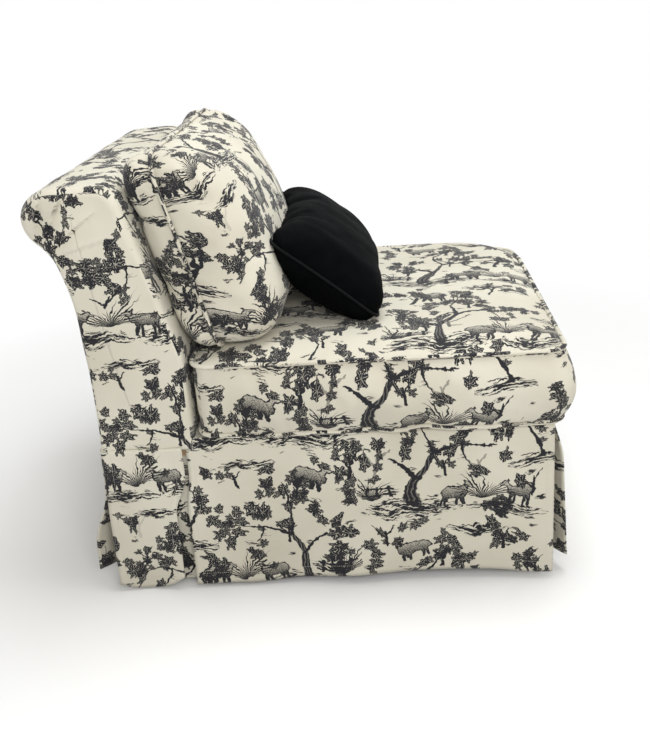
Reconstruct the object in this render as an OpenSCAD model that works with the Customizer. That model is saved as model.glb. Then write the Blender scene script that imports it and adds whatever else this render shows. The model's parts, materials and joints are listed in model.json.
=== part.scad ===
// Armless skirted lounge chair with a scroll back, a loose boxed seat cushion,
// a loose knife-edge back cushion and a small throw pillow.
// X runs from the back of the roll to the front welt, Y across the chair, Z up from the floor.

/* [Overall] */
// Length from the back of the roll to the front of the seat
overall_l = 940; // [900:5:980]
// Height of the roll above the floor
back_h = 836; // [806:2:866]
// Width of the back over its side facings
back_w = 690; // [650:5:730]

/* [Seat cushion] */
// Width of the seat cushion
seat_w = 700; // [660:5:740]
// Depth of the seat cushion
seat_d = 680; // [650:5:700]
// Height of the top welt of the seat cushion above the floor
seat_h = 480; // [450:5:510]
// Height of the boxing between the two welts
boxing_h = 144; // [110:2:160]
// Rise of the crowned top above the welt
seat_crown = 20; // [5:1:35]
// Corner radius of the seat cushion
seat_corner_r = 36; // [20:1:60]
// Gap between the seat cushion and the back, where the zip runs
zip_gap = 10; // [8:0.5:14]

/* [Welts and fabric] */
// Radius of the welt cord on the seat cushion
welt_r = 4.5; // [3:0.25:6]
// Radius of the welt cord on the back cushion
back_welt_r = 3.5; // [2.5:0.25:5]
// Radius of the piping on the throw pillow
piping_r = 3; // [2:0.25:4.5]
// Thickness of the printed cover fabric
cover_t = 1.5; // [1:0.1:2]
// Thickness of a lined skirt panel
skirt_t = 2.5; // [1.5:0.1:4]

/* [Scroll back] */
// Radius of the roll at the rear of the top
roll_r = 66; // [58:1:74]
// Radius of the front corner of the top
head_r = 46; // [38:1:52]
// Lean of the inside back from upright, in degrees
lean = 13.7; // [10:0.1:17]
// Length of the flat top between the centres of its two curves
top_flat = 61.5; // [55:0.5:68]
// Height above the seat welt at which the inside back begins to lean
knee_rise = 20; // [5:1:40]
// Thickness of the back at the knee
back_t = 175; // [160:1:190]
// Radius of the hollow curve under the roll
hollow_r = 500; // [420:10:600]
// Height above the knee at which the hollow curve begins
hollow_rise = 45; // [30:1:60]
// How far the foot of the outside back stands behind its waist
foot_kick = 8; // [2:0.5:14]

/* [Frame] */
// Thickness of the frame rails and the back panels
board_t = 22; // [18:0.5:26]
// Height of the seat rails
rail_h = 105; // [85:1:120]
// Diameter of the dowels
dowel_d = 10; // [8:0.5:12]
// Depth of a dowel in the board that it enters across the grain
dowel_short = 16; // [12:0.5:17]
// Depth of a dowel in the end of a rail
dowel_long = 24; // [18:1:32]
// Side of a leg at its top
leg_top = 48; // [40:1:56]
// Side of a leg at its foot
leg_foot = 36; // [28:1:44]
// Height of the nylon glides
glide_h = 8; // [5:0.5:12]
// Diameter of the nylon glides
glide_d = 24; // [18:1:30]
// Diameter of the hanger bolts
bolt_d = 8; // [6:0.5:10]

/* [Springs] */
// Number of zigzag springs in the seat
seat_springs_n = 5; // [4:1:5]
// Number of zigzag springs in the back
back_springs_n = 4; // [3:1:4]
// Diameter of the spring wire
wire_d = 3.8; // [3:0.1:4.2]
// Width of a zigzag spring
spring_w = 60; // [50:1:66]
// Rise of a seat spring in the middle
seat_rise = 20; // [10:1:21]
// Bulge of a back spring in the middle
back_rise = 18; // [8:1:20]

/* [Padding] */
// Thickness of the padding on the inside back and the roll
pad_t = 16; // [10:0.5:20]
// Thickness of the padding on the sides of the back
side_pad_t = 12.7; // [8:0.1:16]
// Height of the edge roll around the seat deck
edge_roll_h = 27; // [27:0.5:34]
// Width of the edge roll around the seat deck
edge_roll_w = 14; // [12:0.5:14]
// Thickness of the felt pad on the seat deck
deck_pad_t = 12; // [8:0.5:18]
// Thickness of the burlap over the springs
burlap_t = 1.5; // [1:0.1:2]

/* [Skirt] */
// Gap between the hem of the skirt and the floor
hem_gap = 8; // [4:1:15]
// Outward flare of the skirt at its hem
skirt_flare = 12; // [4:1:20]
// Height above the seat rails of the seam where the skirt of the back part is sewn on
skirt_seam_h = 18.8; // [6:0.2:28]
// Width of the inverted kick pleat on each side
pleat_w = 36; // [20:1:50]

/* [Back cushion] */
// Width of the back cushion
back_cushion_w = 646; // [600:2:670]
// Height of the back cushion from seam to seam
back_cushion_h = 412; // [380:2:440]
// Fullness of the back cushion in front of its seam
back_cushion_front = 142; // [110:2:170]
// Fullness of the back cushion behind its seam
back_cushion_rear = 62; // [50:1:75]
// Corner radius of the back cushion
back_cushion_corner_r = 70; // [50:2:100]

/* [Throw pillow] */
// Length of the throw pillow
pillow_l = 430; // [380:5:470]
// Height of the throw pillow
pillow_w = 262; // [230:2:290]
// Fullness of the throw pillow on each side of its seam
pillow_t = 62; // [50:1:75]
// Corner radius of the throw pillow
pillow_corner_r = 30; // [20:1:45]
// Slope of the throw pillow from level, in degrees
pillow_slope = 40; // [34:1:46]
// Turn of the throw pillow about the upright, in degrees
pillow_turn = 5; // [0:1:9]
// How far the middle of the throw pillow lies towards the near side
pillow_shift = 6; // [-30:1:40]

/* [Hidden] */

$fn = 48;
toile = [0.90, 0.88, 0.82];
black_cloth = [0.06, 0.06, 0.07];
beech = [0.80, 0.64, 0.45];
plywood = [0.74, 0.58, 0.38];
board_brown = [0.55, 0.44, 0.32];
steel = [0.62, 0.63, 0.65];
zinc = [0.72, 0.72, 0.70];
foam = [0.93, 0.90, 0.70];
batting = [0.95, 0.95, 0.94];
felt = [0.66, 0.62, 0.56];
jute = [0.70, 0.58, 0.38];
nylon = [0.90, 0.89, 0.86];

// Clearances
rest_gap = 0.3;
fit_gap = 0.05;
overrun = 1;

// Heights, from the seat cushion down to the glides
cushion_low_z = seat_h - boxing_h - welt_r;
deck_z = cushion_low_z - rest_gap;
deck_cover_z = deck_z - cover_t;
deck_pad_z = deck_cover_z - deck_pad_t;
burlap_z = deck_pad_z - burlap_t;
rail_top_z = burlap_z - edge_roll_h;
rail_low_z = rail_top_z - rail_h;
skirt_seam_z = rail_top_z + skirt_seam_h;
knee_z = seat_h + knee_rise;
hollow_z = knee_z + hollow_rise;

// Places along the chair
roll_x = roll_r - overall_l / 2;
roll_z = back_h - roll_r;
head_x = roll_x + top_flat;
head_z = back_h - head_r;
back_front_x = head_x + head_r * cos(lean) + (head_z + head_r * sin(lean) - knee_z) * tan(lean);
rear_x = back_front_x - back_t;
foot_x = rear_x - foot_kick;
hollow_x = rear_x - hollow_r;
cushion_rear_x = back_front_x + zip_gap;
cushion_mid_x = cushion_rear_x + seat_d / 2;
deck_setback = 26;
deck_front_x = overall_l / 2 - welt_r - deck_setback;
skirt_front_x = deck_front_x + rest_gap;

// Layers of the back, each an inset from the cover's outer face
pad_in = cover_t;
burlap_in = pad_in + pad_t;
frame_in = burlap_in + burlap_t;
roll_board_t = 3;
rib_in = frame_in + roll_board_t;
rear_board_t = 3;
rear_frame_in = cover_t + rear_board_t;

// Places across the chair
facing_t = 2;
cover_y = back_w / 2 - facing_t;
frame_y = cover_y - side_pad_t;
panel_y = frame_y - board_t;
deck_side = 6;
deck_y = back_w / 2 - deck_side;
skirt_y = deck_y + rest_gap;

// Frame
frame_back_x = back_front_x - frame_in;
rail_setback = 6.5;
rail_front_x = deck_front_x - rail_setback;
side_rail_front_x = rail_front_x - board_t;
back_rail_inset = 3;
rear_frame_x = foot_x + rear_frame_in;
back_rail_x = rear_frame_x + back_rail_inset;
leg_inset = 45;
leg_front_x = rail_front_x - leg_inset;
leg_rear_x = back_rail_x + leg_inset;
leg_y = frame_y - leg_inset;
block_leg = 96;
block_h = 60;
bolt_up = 40;
bolt_down = 45;
glide_pin_d = 4;
glide_pin_l = 16;
tack_rail_h = 50;
tack_rail_rise = 16;
tack_rail_share = 1.2;
tack_rail_x = back_front_x - frame_in - tack_rail_share * board_t;
top_rail_h = 64;
top_rail_z = head_z - top_rail_h;
top_rail_share = 0.12;
top_rail_x = head_x + top_rail_share * head_r;
roll_rail_side = 40;
rib_t = 18;
rib_low_drop = 14;
rib_share = 0.36;
dowel_edge_share = 0.24;

// The outline of the back, seen from the side
roll_seam_angle = 250;
reach = back_h / 2;
roll_centre = [roll_x, roll_z];
head_centre = [head_x, head_z];
lean_normal = [cos(lean), sin(lean)];

function knee_at(inset) =
  let (tangent = head_centre + (head_r - inset) * lean_normal)
  [back_front_x - inset,
   tangent[1] - (back_front_x - inset - tangent[0]) / tan(lean)];

function roll_edge(inset) =
  roll_centre + (roll_r - inset) * [cos(roll_seam_angle), sin(roll_seam_angle)];

module back_outline(front_in, rear_in, low_z) {
  translate(roll_centre) circle(r = roll_r - front_in);
  translate(head_centre) circle(r = head_r - front_in);
  difference() {
    polygon([
      [back_front_x - front_in, low_z],
      knee_at(front_in),
      head_centre + (head_r - front_in) * lean_normal,
      head_centre,
      [head_x, back_h - front_in],
      [roll_x, back_h - front_in],
      roll_centre,
      roll_edge(front_in),
      [rear_x + rear_in, hollow_z],
      [foot_x + rear_in, rail_low_z],
      [foot_x + rear_in, min(low_z, rail_low_z)]
    ]);
    translate([hollow_x, hollow_z]) circle(r = hollow_r + rear_in, $fn = 192);
    translate([rear_x - reach, low_z - reach]) square([2 * reach, reach]);
  }
}

// A band that follows the outline between two insets
module back_band(outer_in, inner_in, low_z) {
  difference() {
    back_outline(outer_in, outer_in, low_z);
    back_outline(inner_in, inner_in, low_z - overrun);
  }
}

// The parts of the outline that the front, the roll and the rear pieces cover
module front_region(low_z) {
  polygon([head_centre, head_centre + reach * lean_normal, [back_front_x + reach, low_z],
    [back_front_x - back_t / 2, low_z]]);
}

module roll_region() {
  polygon([head_centre, head_centre + reach * lean_normal, [head_x + reach, back_h + reach],
    [roll_x - reach, back_h + reach], [roll_x - reach, roll_z],
    roll_centre + reach * [cos(roll_seam_angle), sin(roll_seam_angle)], roll_centre]);
}

module rear_region(low_z) {
  polygon([roll_centre,
    roll_centre + reach * [cos(roll_seam_angle), sin(roll_seam_angle)],
    [rear_x - reach, low_z], [rear_x + back_t / 2, low_z]]);
}

// Extrusions of a side view across the chair, and of a front view along it
module across(y0, y1) {
  translate([0, y1, 0]) rotate([90, 0, 0]) linear_extrude(y1 - y0) children();
}

module along(x0, x1) {
  translate([x0, 0, 0]) rotate([90, 0, 90]) linear_extrude(x1 - x0) children();
}

module block(x0, x1, y0, y1, z0, z1) {
  translate([x0, y0, z0]) cube([x1 - x0, y1 - y0, z1 - z0]);
}

module both_sides() {
  children();
  mirror([0, 1, 0]) children();
}

// Dowels, drawn for the pins and again, a little larger, for their holes
module dowel_pair_across(x, z_low, h, d) {
  for (share = [dowel_edge_share, 1 - dowel_edge_share])
    translate([x, panel_y - dowel_long, z_low + share * h])
      rotate([-90, 0, 0]) cylinder(d = d, h = dowel_long + dowel_short);
}

module dowels(d) {
  both_sides() {
    dowel_pair_across(back_rail_x + board_t / 2, rail_low_z, rail_h, d);
    dowel_pair_across(frame_back_x - board_t / 2, rail_low_z, rail_h, d);
    dowel_pair_across(tack_rail_x - board_t / 2, deck_z + tack_rail_rise, tack_rail_h, d);
    dowel_pair_across(top_rail_x - board_t / 2, top_rail_z, top_rail_h, d);
    translate([roll_x, panel_y - dowel_long, roll_z])
      rotate([-90, 0, 0]) cylinder(d = d, h = dowel_long + dowel_short);
    for (share = [dowel_edge_share, 1 - dowel_edge_share])
      translate([0, frame_y - board_t / 2, rail_low_z + share * rail_h]) {
        translate([side_rail_front_x - dowel_long, 0, 0])
          rotate([0, 90, 0]) cylinder(d = d, h = dowel_long + dowel_short);
        translate([frame_back_x - dowel_short, 0, 0])
          rotate([0, 90, 0]) cylinder(d = d, h = dowel_long + dowel_short);
      }
  }
}

module drilled() {
  difference() {
    children();
    dowels(dowel_d + 2 * fit_gap);
  }
}

module front_rail() {
  color(beech) drilled()
    block(side_rail_front_x, rail_front_x, -frame_y, frame_y, rail_low_z, rail_top_z);
}

module side_rail() {
  drilled() block(frame_back_x, side_rail_front_x, panel_y, frame_y, rail_low_z, rail_top_z);
}

module side_rail_left() {
  color(beech) side_rail();
}

module side_rail_right() {
  color(beech) mirror([0, 1, 0]) side_rail();
}

module cross_rail(front_x, thick, z_low, h) {
  color(beech) drilled() block(front_x - thick, front_x, -panel_y, panel_y, z_low, z_low + h);
}

module back_rail() {
  cross_rail(back_rail_x + board_t, board_t, rail_low_z, rail_h);
}

module spring_rail() {
  cross_rail(frame_back_x, board_t, rail_low_z, rail_h);
}

module tack_rail() {
  cross_rail(tack_rail_x, board_t, deck_z + tack_rail_rise, tack_rail_h);
}

module top_rail() {
  cross_rail(top_rail_x, board_t, top_rail_z, top_rail_h);
}

module roll_rail() {
  cross_rail(roll_x + roll_rail_side / 2, roll_rail_side, roll_z - roll_rail_side / 2,
    roll_rail_side);
}

// A back panel is a board sawn to the scroll's outline, with its foot between the seat rails
module back_panel() {
  drilled() across(panel_y, frame_y) back_outline(frame_in, rear_frame_in, rail_low_z);
}

module back_panel_left() {
  color(plywood) back_panel();
}

module back_panel_right() {
  color(plywood) mirror([0, 1, 0]) back_panel();
}

module roll_ribs() {
  color(plywood)
    for (side = [-1, 1])
      across(side * rib_share * frame_y - rib_t / 2, side * rib_share * frame_y + rib_t / 2)
        difference() {
          intersection() {
            back_outline(rib_in, rib_in, rail_low_z);
            translate([roll_x - reach, roll_z - roll_rail_side / 2 - rib_low_drop])
              square(2 * reach);
          }
          translate([top_rail_x - board_t - fit_gap, top_rail_z - overrun])
            square([board_t + 2 * fit_gap + reach, top_rail_h + overrun + fit_gap]);
          translate([roll_x - roll_rail_side / 2 - fit_gap,
              roll_z - roll_rail_side / 2 - fit_gap])
            square(roll_rail_side + 2 * fit_gap);
        }
}

module roll_board() {
  color(plywood) across(-panel_y, panel_y) intersection() {
    back_band(frame_in, rib_in, rail_low_z);
    roll_region();
  }
}

module rear_board() {
  color(board_brown) across(-frame_y, frame_y) intersection() {
    difference() {
      back_outline(cover_t, cover_t, rail_low_z);
      back_outline(cover_t - overrun, rear_frame_in, rail_low_z - overrun);
    }
    rear_region(skirt_seam_z);
  }
}

module frame_dowels() {
  color(beech) dowels(dowel_d);
}

module at_corners() {
  both_sides() {
    translate([leg_front_x, leg_y, 0]) children();
    translate([leg_rear_x, leg_y, 0]) mirror([1, 0, 0]) children();
  }
}

module corner_blocks() {
  color(beech) at_corners() difference() {
    translate([leg_inset - board_t, leg_inset - board_t, rail_low_z])
      linear_extrude(block_h) polygon([[0, 0], [-block_leg, 0], [0, -block_leg]]);
    translate([0, 0, rail_low_z - overrun])
      cylinder(d = bolt_d + 2 * fit_gap, h = bolt_up + overrun);
  }
}

module leg_taper(h) {
  polygon([[-leg_foot / 2, 0], [leg_foot / 2, 0], [leg_top / 2, h], [-leg_top / 2, h]]);
}

module legs() {
  leg_h = rail_low_z - glide_h;
  color(beech) at_corners() difference() {
    translate([0, 0, glide_h]) intersection() {
      across(-leg_top, leg_top) leg_taper(leg_h);
      along(-leg_top, leg_top) leg_taper(leg_h);
    }
    translate([0, 0, rail_low_z - bolt_down])
      cylinder(d = bolt_d + 2 * fit_gap, h = bolt_down + overrun);
    translate([0, 0, glide_h - overrun])
      cylinder(d = glide_pin_d + 2 * fit_gap, h = glide_pin_l + overrun);
  }
}

module leg_bolts() {
  color(zinc) at_corners() translate([0, 0, rail_low_z - bolt_down])
    cylinder(d = bolt_d, h = bolt_down + bolt_up);
}

module glides() {
  color(nylon) at_corners() {
    cylinder(d = glide_d, h = glide_h);
    cylinder(d = glide_pin_d, h = glide_h + glide_pin_l);
  }
}

// A round bar swept along points, with a ring at each point
bar_sides = 6;

function unit(v) = v / norm(v);

function ring_tangent(path, i, closed) =
  let (n = len(path),
       before = closed ? path[(i + n - 1) % n] : path[max(i - 1, 0)],
       after = closed ? path[(i + 1) % n] : path[min(i + 1, n - 1)])
  unit(after - before);

function ring_points(centre, tangent, side, r) =
  let (a = unit(cross(tangent, side)), b = cross(tangent, a))
  [for (k = [0 : bar_sides - 1])
    centre + r * (a * cos(360 * k / bar_sides) + b * sin(360 * k / bar_sides))];

module swept_bar(path, r, side, closed = false) {
  n = len(path);
  last = closed ? n - 1 : n - 2;
  rings = [for (i = [0 : n - 1]) each ring_points(path[i], ring_tangent(path, i, closed), side, r)];
  walls = [for (i = [0 : last]) for (k = [0 : bar_sides - 1])
    let (next = (k + 1) % bar_sides, a = i * bar_sides, b = ((i + 1) % n) * bar_sides)
    each [[a + k, b + k, b + next], [a + k, b + next, a + next]]];
  caps = closed ? [] : [
    [for (k = [0 : bar_sides - 1]) k],
    [for (k = [0 : bar_sides - 1]) n * bar_sides - 1 - k]];
  polyhedron(points = rings, faces = concat(walls, caps), convexity = 10);
}

// A zigzag spring from one clip to the other, arched towards `out`
loop_step = 45;
loop_pitch = 45;

function zigzag(start, end, out, rise) =
  let (run = norm(end - start),
       loops = 2 * floor(run / loop_pitch / 2) + 1,
       pitch = run / loops,
       bend = pitch / 2,
       straight = spring_w / 2 - bend)
  [for (i = [0 : loops - 1]) for (turn = [0 : loop_step : 180])
    let (s = i * pitch + bend - bend * cos(turn),
         y = (i % 2 == 0 ? 1 : -1) * (straight + bend * sin(turn)),
         far = 2 * s / run - 1)
    start + (end - start) * s / run + [0, y, 0] + out * rise * (1 - far * far)];

module zigzag_spring(start, end, out, rise) {
  path = zigzag(start, end, out, rise);
  straight = path[0][1] - start[1];
  full = concat([path[0] - [0, 2 * straight, 0]], path,
    [path[len(path) - 1] - [0, 2 * straight, 0]]);
  swept_bar(full, wire_d / 2, out);
}

clip_t = 1.2;
clip_w = 14;
clip_gap = 0.3;
clip_foot = 6.5;
hook_r = wire_d / 2 + clip_gap;
clip_rise = clip_t + hook_r;
seat_clip_inset = 7.5;
seat_spring_y_share = 0.72;
back_spring_y_share = 0.64;
seat_spring_front = [side_rail_front_x + seat_clip_inset, 0, rail_top_z + clip_rise];
seat_spring_rear = [frame_back_x - seat_clip_inset, 0, rail_top_z + clip_rise];
back_spring_low =
  [tack_rail_x + clip_rise, 0, deck_z + tack_rail_rise + tack_rail_h / 2];
back_spring_top = [top_rail_x + clip_rise, 0, top_rail_z + top_rail_h / 2];

function spread(n, share) = [for (i = [0 : n - 1]) share * frame_y * (2 * i / (n - 1) - 1)];

module seat_springs() {
  color(steel) for (y = spread(seat_springs_n, seat_spring_y_share))
    translate([0, y, 0]) zigzag_spring(seat_spring_rear, seat_spring_front, [0, 0, 1], seat_rise);
}

module back_springs() {
  color(steel) for (y = spread(back_springs_n, back_spring_y_share))
    translate([0, y, 0]) zigzag_spring(back_spring_low, back_spring_top, [1, 0, 0], back_rise);
}

// A clip is a nailed plate with a rolled eye that holds the end of a spring
module clip(toward) {
  across(-clip_w / 2, clip_w / 2) difference() {
    union() {
      translate([toward > 0 ? 0 : -clip_foot, 0]) square([clip_foot, clip_t]);
      translate([0, clip_rise]) circle(r = hook_r + clip_t);
    }
    translate([0, clip_rise]) circle(r = hook_r);
    translate([-reach, -reach]) square([2 * reach, reach]);
  }
}

module spring_clips() {
  color(zinc) {
    for (y = spread(seat_springs_n, seat_spring_y_share)) {
      translate(seat_spring_front + [0, y, -clip_rise]) clip(1);
      translate(seat_spring_rear + [0, y, -clip_rise]) clip(-1);
    }
    for (y = spread(back_springs_n, back_spring_y_share)) {
      translate(back_spring_low + [-clip_rise, y, 0]) rotate([0, 90, 0]) clip(1);
      translate(back_spring_top + [-clip_rise, y, 0]) rotate([0, 90, 0]) clip(-1);
    }
  }
}

module edge_rolls() {
  color(foam) {
    block(deck_front_x - edge_roll_w, deck_front_x, -deck_y, deck_y, rail_top_z, burlap_z);
    both_sides() block(frame_back_x, deck_front_x - edge_roll_w, deck_y - edge_roll_w, deck_y,
      rail_top_z, burlap_z);
  }
}

module seat_burlap() {
  color(jute) {
    block(frame_back_x, deck_front_x, -deck_y, deck_y, burlap_z, deck_pad_z);
    block(frame_back_x - board_t, frame_back_x, -panel_y + rest_gap, panel_y - rest_gap,
      burlap_z, deck_pad_z);
  }
}

module back_burlap() {
  color(jute) across(-frame_y, frame_y) intersection() {
    back_band(burlap_in, frame_in, rail_low_z);
    front_region(deck_z + rest_gap);
  }
}

module deck_pad() {
  color(felt) block(frame_back_x, deck_front_x, -deck_y, deck_y, deck_pad_z, deck_cover_z);
}

module deck_cover() {
  color(toile) block(frame_back_x, deck_front_x, -deck_y, deck_y, deck_cover_z, deck_z);
}

module back_padding() {
  color(foam) across(-frame_y, frame_y) intersection() {
    back_band(pad_in, burlap_in, rail_low_z);
    front_region(deck_z + rest_gap);
  }
}

module roll_padding() {
  color(batting) across(-frame_y, frame_y) intersection() {
    back_band(pad_in, frame_in, rail_low_z);
    roll_region();
  }
}

module side_padding() {
  color(batting) both_sides() across(frame_y, cover_y - rest_gap)
    back_outline(pad_in, pad_in, deck_z + rest_gap);
}

module dust_cover() {
  color(black_cloth) difference() {
    block(back_rail_x, rail_front_x, -frame_y, frame_y, rail_low_z - cover_t, rail_low_z);
    at_corners() block(-leg_top / 2 - rest_gap, leg_top / 2 + rest_gap,
      -leg_top / 2 - rest_gap, leg_top / 2 + rest_gap,
      rail_low_z - cover_t - overrun, rail_low_z + overrun);
  }
}

module inside_back_cover() {
  color(toile) across(-cover_y, cover_y) intersection() {
    back_band(0, pad_in, rail_low_z);
    union() {
      front_region(deck_z + rest_gap);
      roll_region();
    }
  }
}

module outside_back_cover() {
  color(toile) across(-cover_y, cover_y) intersection() {
    back_band(0, cover_t, rail_low_z);
    rear_region(skirt_seam_z);
  }
}

module back_facing() {
  across(cover_y, cover_y + facing_t) back_outline(0, 0, skirt_seam_z);
}

module back_facing_left() {
  color(toile) back_facing();
}

module back_facing_right() {
  color(toile) mirror([0, 1, 0]) back_facing();
}

// A skirt panel in section: it hangs from `top_at` and flares to its hem
module skirt_section(top_at, top_z, flare) {
  polygon([[top_at, top_z], [top_at + skirt_t, top_z], [top_at + flare + skirt_t, hem_gap],
    [top_at + flare, hem_gap]]);
}

skirt_lap = 6;
pleat_x = frame_back_x - 24;
corner_gap = 5;
back_skirt_y = back_w / 2 + rest_gap;
rear_skirt_x = rear_x - rest_gap
  - foot_kick * (hollow_z - skirt_seam_z - skirt_lap) / (hollow_z - rail_low_z);
underlay_w = 130;
underlay_corner = 60;

module skirt_seat() {
  along(pleat_x + pleat_w / 2, skirt_front_x + corner_gap)
    skirt_section(skirt_y, deck_z, skirt_flare);
}

module skirt_seat_left() {
  color(toile) skirt_seat();
}

module skirt_seat_right() {
  color(toile) mirror([0, 1, 0]) skirt_seat();
}

module skirt_back() {
  along(foot_x, pleat_x - pleat_w / 2)
    skirt_section(back_skirt_y, skirt_seam_z + skirt_lap, skirt_flare);
}

module skirt_back_left() {
  color(toile) skirt_back();
}

module skirt_back_right() {
  color(toile) mirror([0, 1, 0]) skirt_back();
}

module skirt_front() {
  color(toile) across(-skirt_y + corner_gap, skirt_y - corner_gap)
    skirt_section(skirt_front_x, deck_z, skirt_flare);
}

module skirt_rear() {
  color(toile) mirror([1, 0, 0]) across(-cover_y, cover_y)
    skirt_section(-rear_skirt_x, skirt_seam_z + skirt_lap, skirt_flare);
}

// Underlays hang behind the open pleats, stapled to the rails
module skirt_underlays() {
  color(toile) {
    both_sides() {
      block(pleat_x - underlay_w / 2, pleat_x + underlay_w / 2, frame_y, frame_y + skirt_t,
        hem_gap, rail_top_z);
      block(rail_front_x - underlay_corner, rail_front_x + skirt_t, frame_y, frame_y + skirt_t,
        hem_gap, rail_top_z);
      block(rail_front_x, rail_front_x + skirt_t, frame_y - underlay_corner, frame_y,
        hem_gap, rail_top_z);
      block(rear_frame_x - skirt_t, rear_frame_x + underlay_corner, frame_y, frame_y + skirt_t,
        hem_gap, rail_top_z);
      block(rear_frame_x - skirt_t, rear_frame_x, frame_y - underlay_corner, frame_y,
        hem_gap, rail_top_z);
    }
  }
}

// A rounded rectangle as points, with `arc_n` steps in a corner and `edge_n` points between
function corner_centre(a, b, r, q) =
  [(q == 0 || q == 3 ? 1 : -1) * (a - r), (q < 2 ? 1 : -1) * (b - r)];

function corner_point(a, b, r, q, turn) =
  corner_centre(a, b, r, q) + r * [cos(90 * (q + turn)), sin(90 * (q + turn))];

function rounded_outline(a, b, r, arc_n, edge_n) =
  [for (q = [0 : 3]) each concat(
    [for (i = [0 : arc_n]) corner_point(a, b, r, q, i / arc_n)],
    [for (j = [1 : edge_n])
      let (from = corner_point(a, b, r, q, 1), to = corner_point(a, b, r, (q + 1) % 4, 0))
      from + (to - from) * j / (edge_n + 1)])];

// A soft solid between two surfaces over one outline. `upper` and `lower` give the height
// at a point and at its share of the way to the edge, and `place` puts it on the chair
module soft_solid(outline, shares, upper, lower, place) {
  n = len(outline);
  m = len(shares);
  half = 1 + n * m;
  function face_points(f) = concat([place([0, 0, f([0, 0], 0)])],
    [for (s = shares) for (p = outline) place([s * p[0], s * p[1], f(s * p, s)])]);
  fan = [for (i = [0 : n - 1]) [0, 1 + (i + 1) % n, 1 + i]];
  bands = [for (k = [0 : m - 2]) for (i = [0 : n - 1])
    let (next = (i + 1) % n, a = 1 + k * n, b = 1 + (k + 1) * n)
    each [[a + i, a + next, b + next], [a + i, b + next, b + i]]];
  top = concat(fan, bands);
  bottom = [for (t = top) [half + t[2], half + t[1], half + t[0]]];
  rim = [for (i = [0 : n - 1])
    let (next = (i + 1) % n, a = 1 + (m - 1) * n, b = half + a)
    each [[a + i, a + next, b + next], [a + i, b + next, b + i]]];
  polyhedron(points = concat(face_points(upper), face_points(lower)),
    faces = concat(top, bottom, rim), convexity = 4);
}

// The bulge of a stuffed cushion: 1 in the middle, 0 along the seam
function bulge(p, s, a, b, power) =
  sqrt(max(0, (1 - pow(abs(p[0]) / a, power)) * (1 - pow(abs(p[1]) / b, power))
    * (1 - pow(s, 4 * power))));

function pressed(s, power) = sqrt(max(0, 1 - pow(s, power)));

cushion_shares = [0.28, 0.52, 0.73, 0.89, 1];
seat_power = 2.6;
seat_a = seat_d / 2;
seat_b = seat_w / 2;
panel_t = 2;
foam_gap = 0.3;
seat_outline = rounded_outline(seat_a, seat_b, seat_corner_r, 2, 3);
seat_place = function (p) p + [cushion_mid_x, 0, 0];
seat_panel_z = seat_h - panel_t / 2;
seat_floor_z = cushion_low_z;

function seat_surface(p, s) =
  seat_panel_z + panel_t + seat_crown * bulge(p, s, seat_a, seat_b, seat_power);

// Height of the seat cushion's top at any place on it
function seat_top_z(x, y) =
  let (u = abs(x - cushion_mid_x) / seat_a, v = abs(y) / seat_b)
  seat_panel_z + panel_t + seat_crown * (u < 1 && v < 1
    ? sqrt((1 - pow(u, seat_power)) * (1 - pow(v, seat_power))) : 0);

module rounded_plate(a, b, r) {
  translate([-a + r, -b]) square([2 * (a - r), 2 * b]);
  translate([-a, -b + r]) square([2 * a, 2 * (b - r)]);
  for (x = [-1, 1]) for (y = [-1, 1]) translate([x * (a - r), y * (b - r)]) circle(r = r);
}

module seat_cushion_top() {
  color(toile) soft_solid(seat_outline, cushion_shares,
    function (p, s) seat_surface(p, s), function (p, s) seat_surface(p, s) - panel_t, seat_place);
}

module seat_foam() {
  core = rounded_outline(seat_a - cover_t - foam_gap, seat_b - cover_t - foam_gap,
    seat_corner_r - cover_t - foam_gap, 2, 3);
  color(foam) soft_solid(core, cushion_shares,
    function (p, s) seat_panel_z - foam_gap
      + (s < 1 ? seat_crown * bulge(p, s, seat_a, seat_b, seat_power) : 0),
    function (p, s) seat_floor_z + panel_t, seat_place);
}

module seat_cushion_bottom() {
  color(toile) translate([cushion_mid_x, 0, seat_floor_z]) linear_extrude(panel_t)
    rounded_plate(seat_a - welt_r, seat_b - welt_r, seat_corner_r - welt_r);
}

// The boxing's rear strip is turned in where the zip is let into it
module seat_boxing() {
  color(toile) translate([cushion_mid_x, 0, seat_floor_z + panel_t])
    linear_extrude(seat_panel_z - seat_floor_z - panel_t) difference() {
      rounded_plate(seat_a, seat_b, seat_corner_r);
      rounded_plate(seat_a - cover_t, seat_b - cover_t, seat_corner_r - cover_t);
    }
}

// A round welt laid along a rounded rectangle
module welt_loop(a, b, r, cord_r) {
  for (q = [0 : 3]) {
    centre = corner_centre(a, b, r, q);
    from = corner_point(a, b, r, q, 1);
    to = corner_point(a, b, r, (q + 1) % 4, 0);
    translate(centre) rotate([0, 0, 90 * q])
      rotate_extrude(angle = 90) translate([r, 0]) circle(r = cord_r, $fn = 24);
    translate(from) rotate([0, 0, 90 * (q + 1)]) rotate([-90, 0, 0])
      cylinder(r = cord_r, h = norm(to - from), $fn = 24);
  }
}

module seat_welts() {
  color(toile) translate([cushion_mid_x, 0, 0]) for (z = [seat_h, seat_h - boxing_h])
    translate([0, 0, z]) difference() {
      welt_loop(seat_a, seat_b, seat_corner_r, welt_r);
      translate([0, 0, -2 * welt_r]) linear_extrude(4 * welt_r)
        rounded_plate(seat_a + rest_gap, seat_b + rest_gap, seat_corner_r + rest_gap);
    }
}

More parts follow.
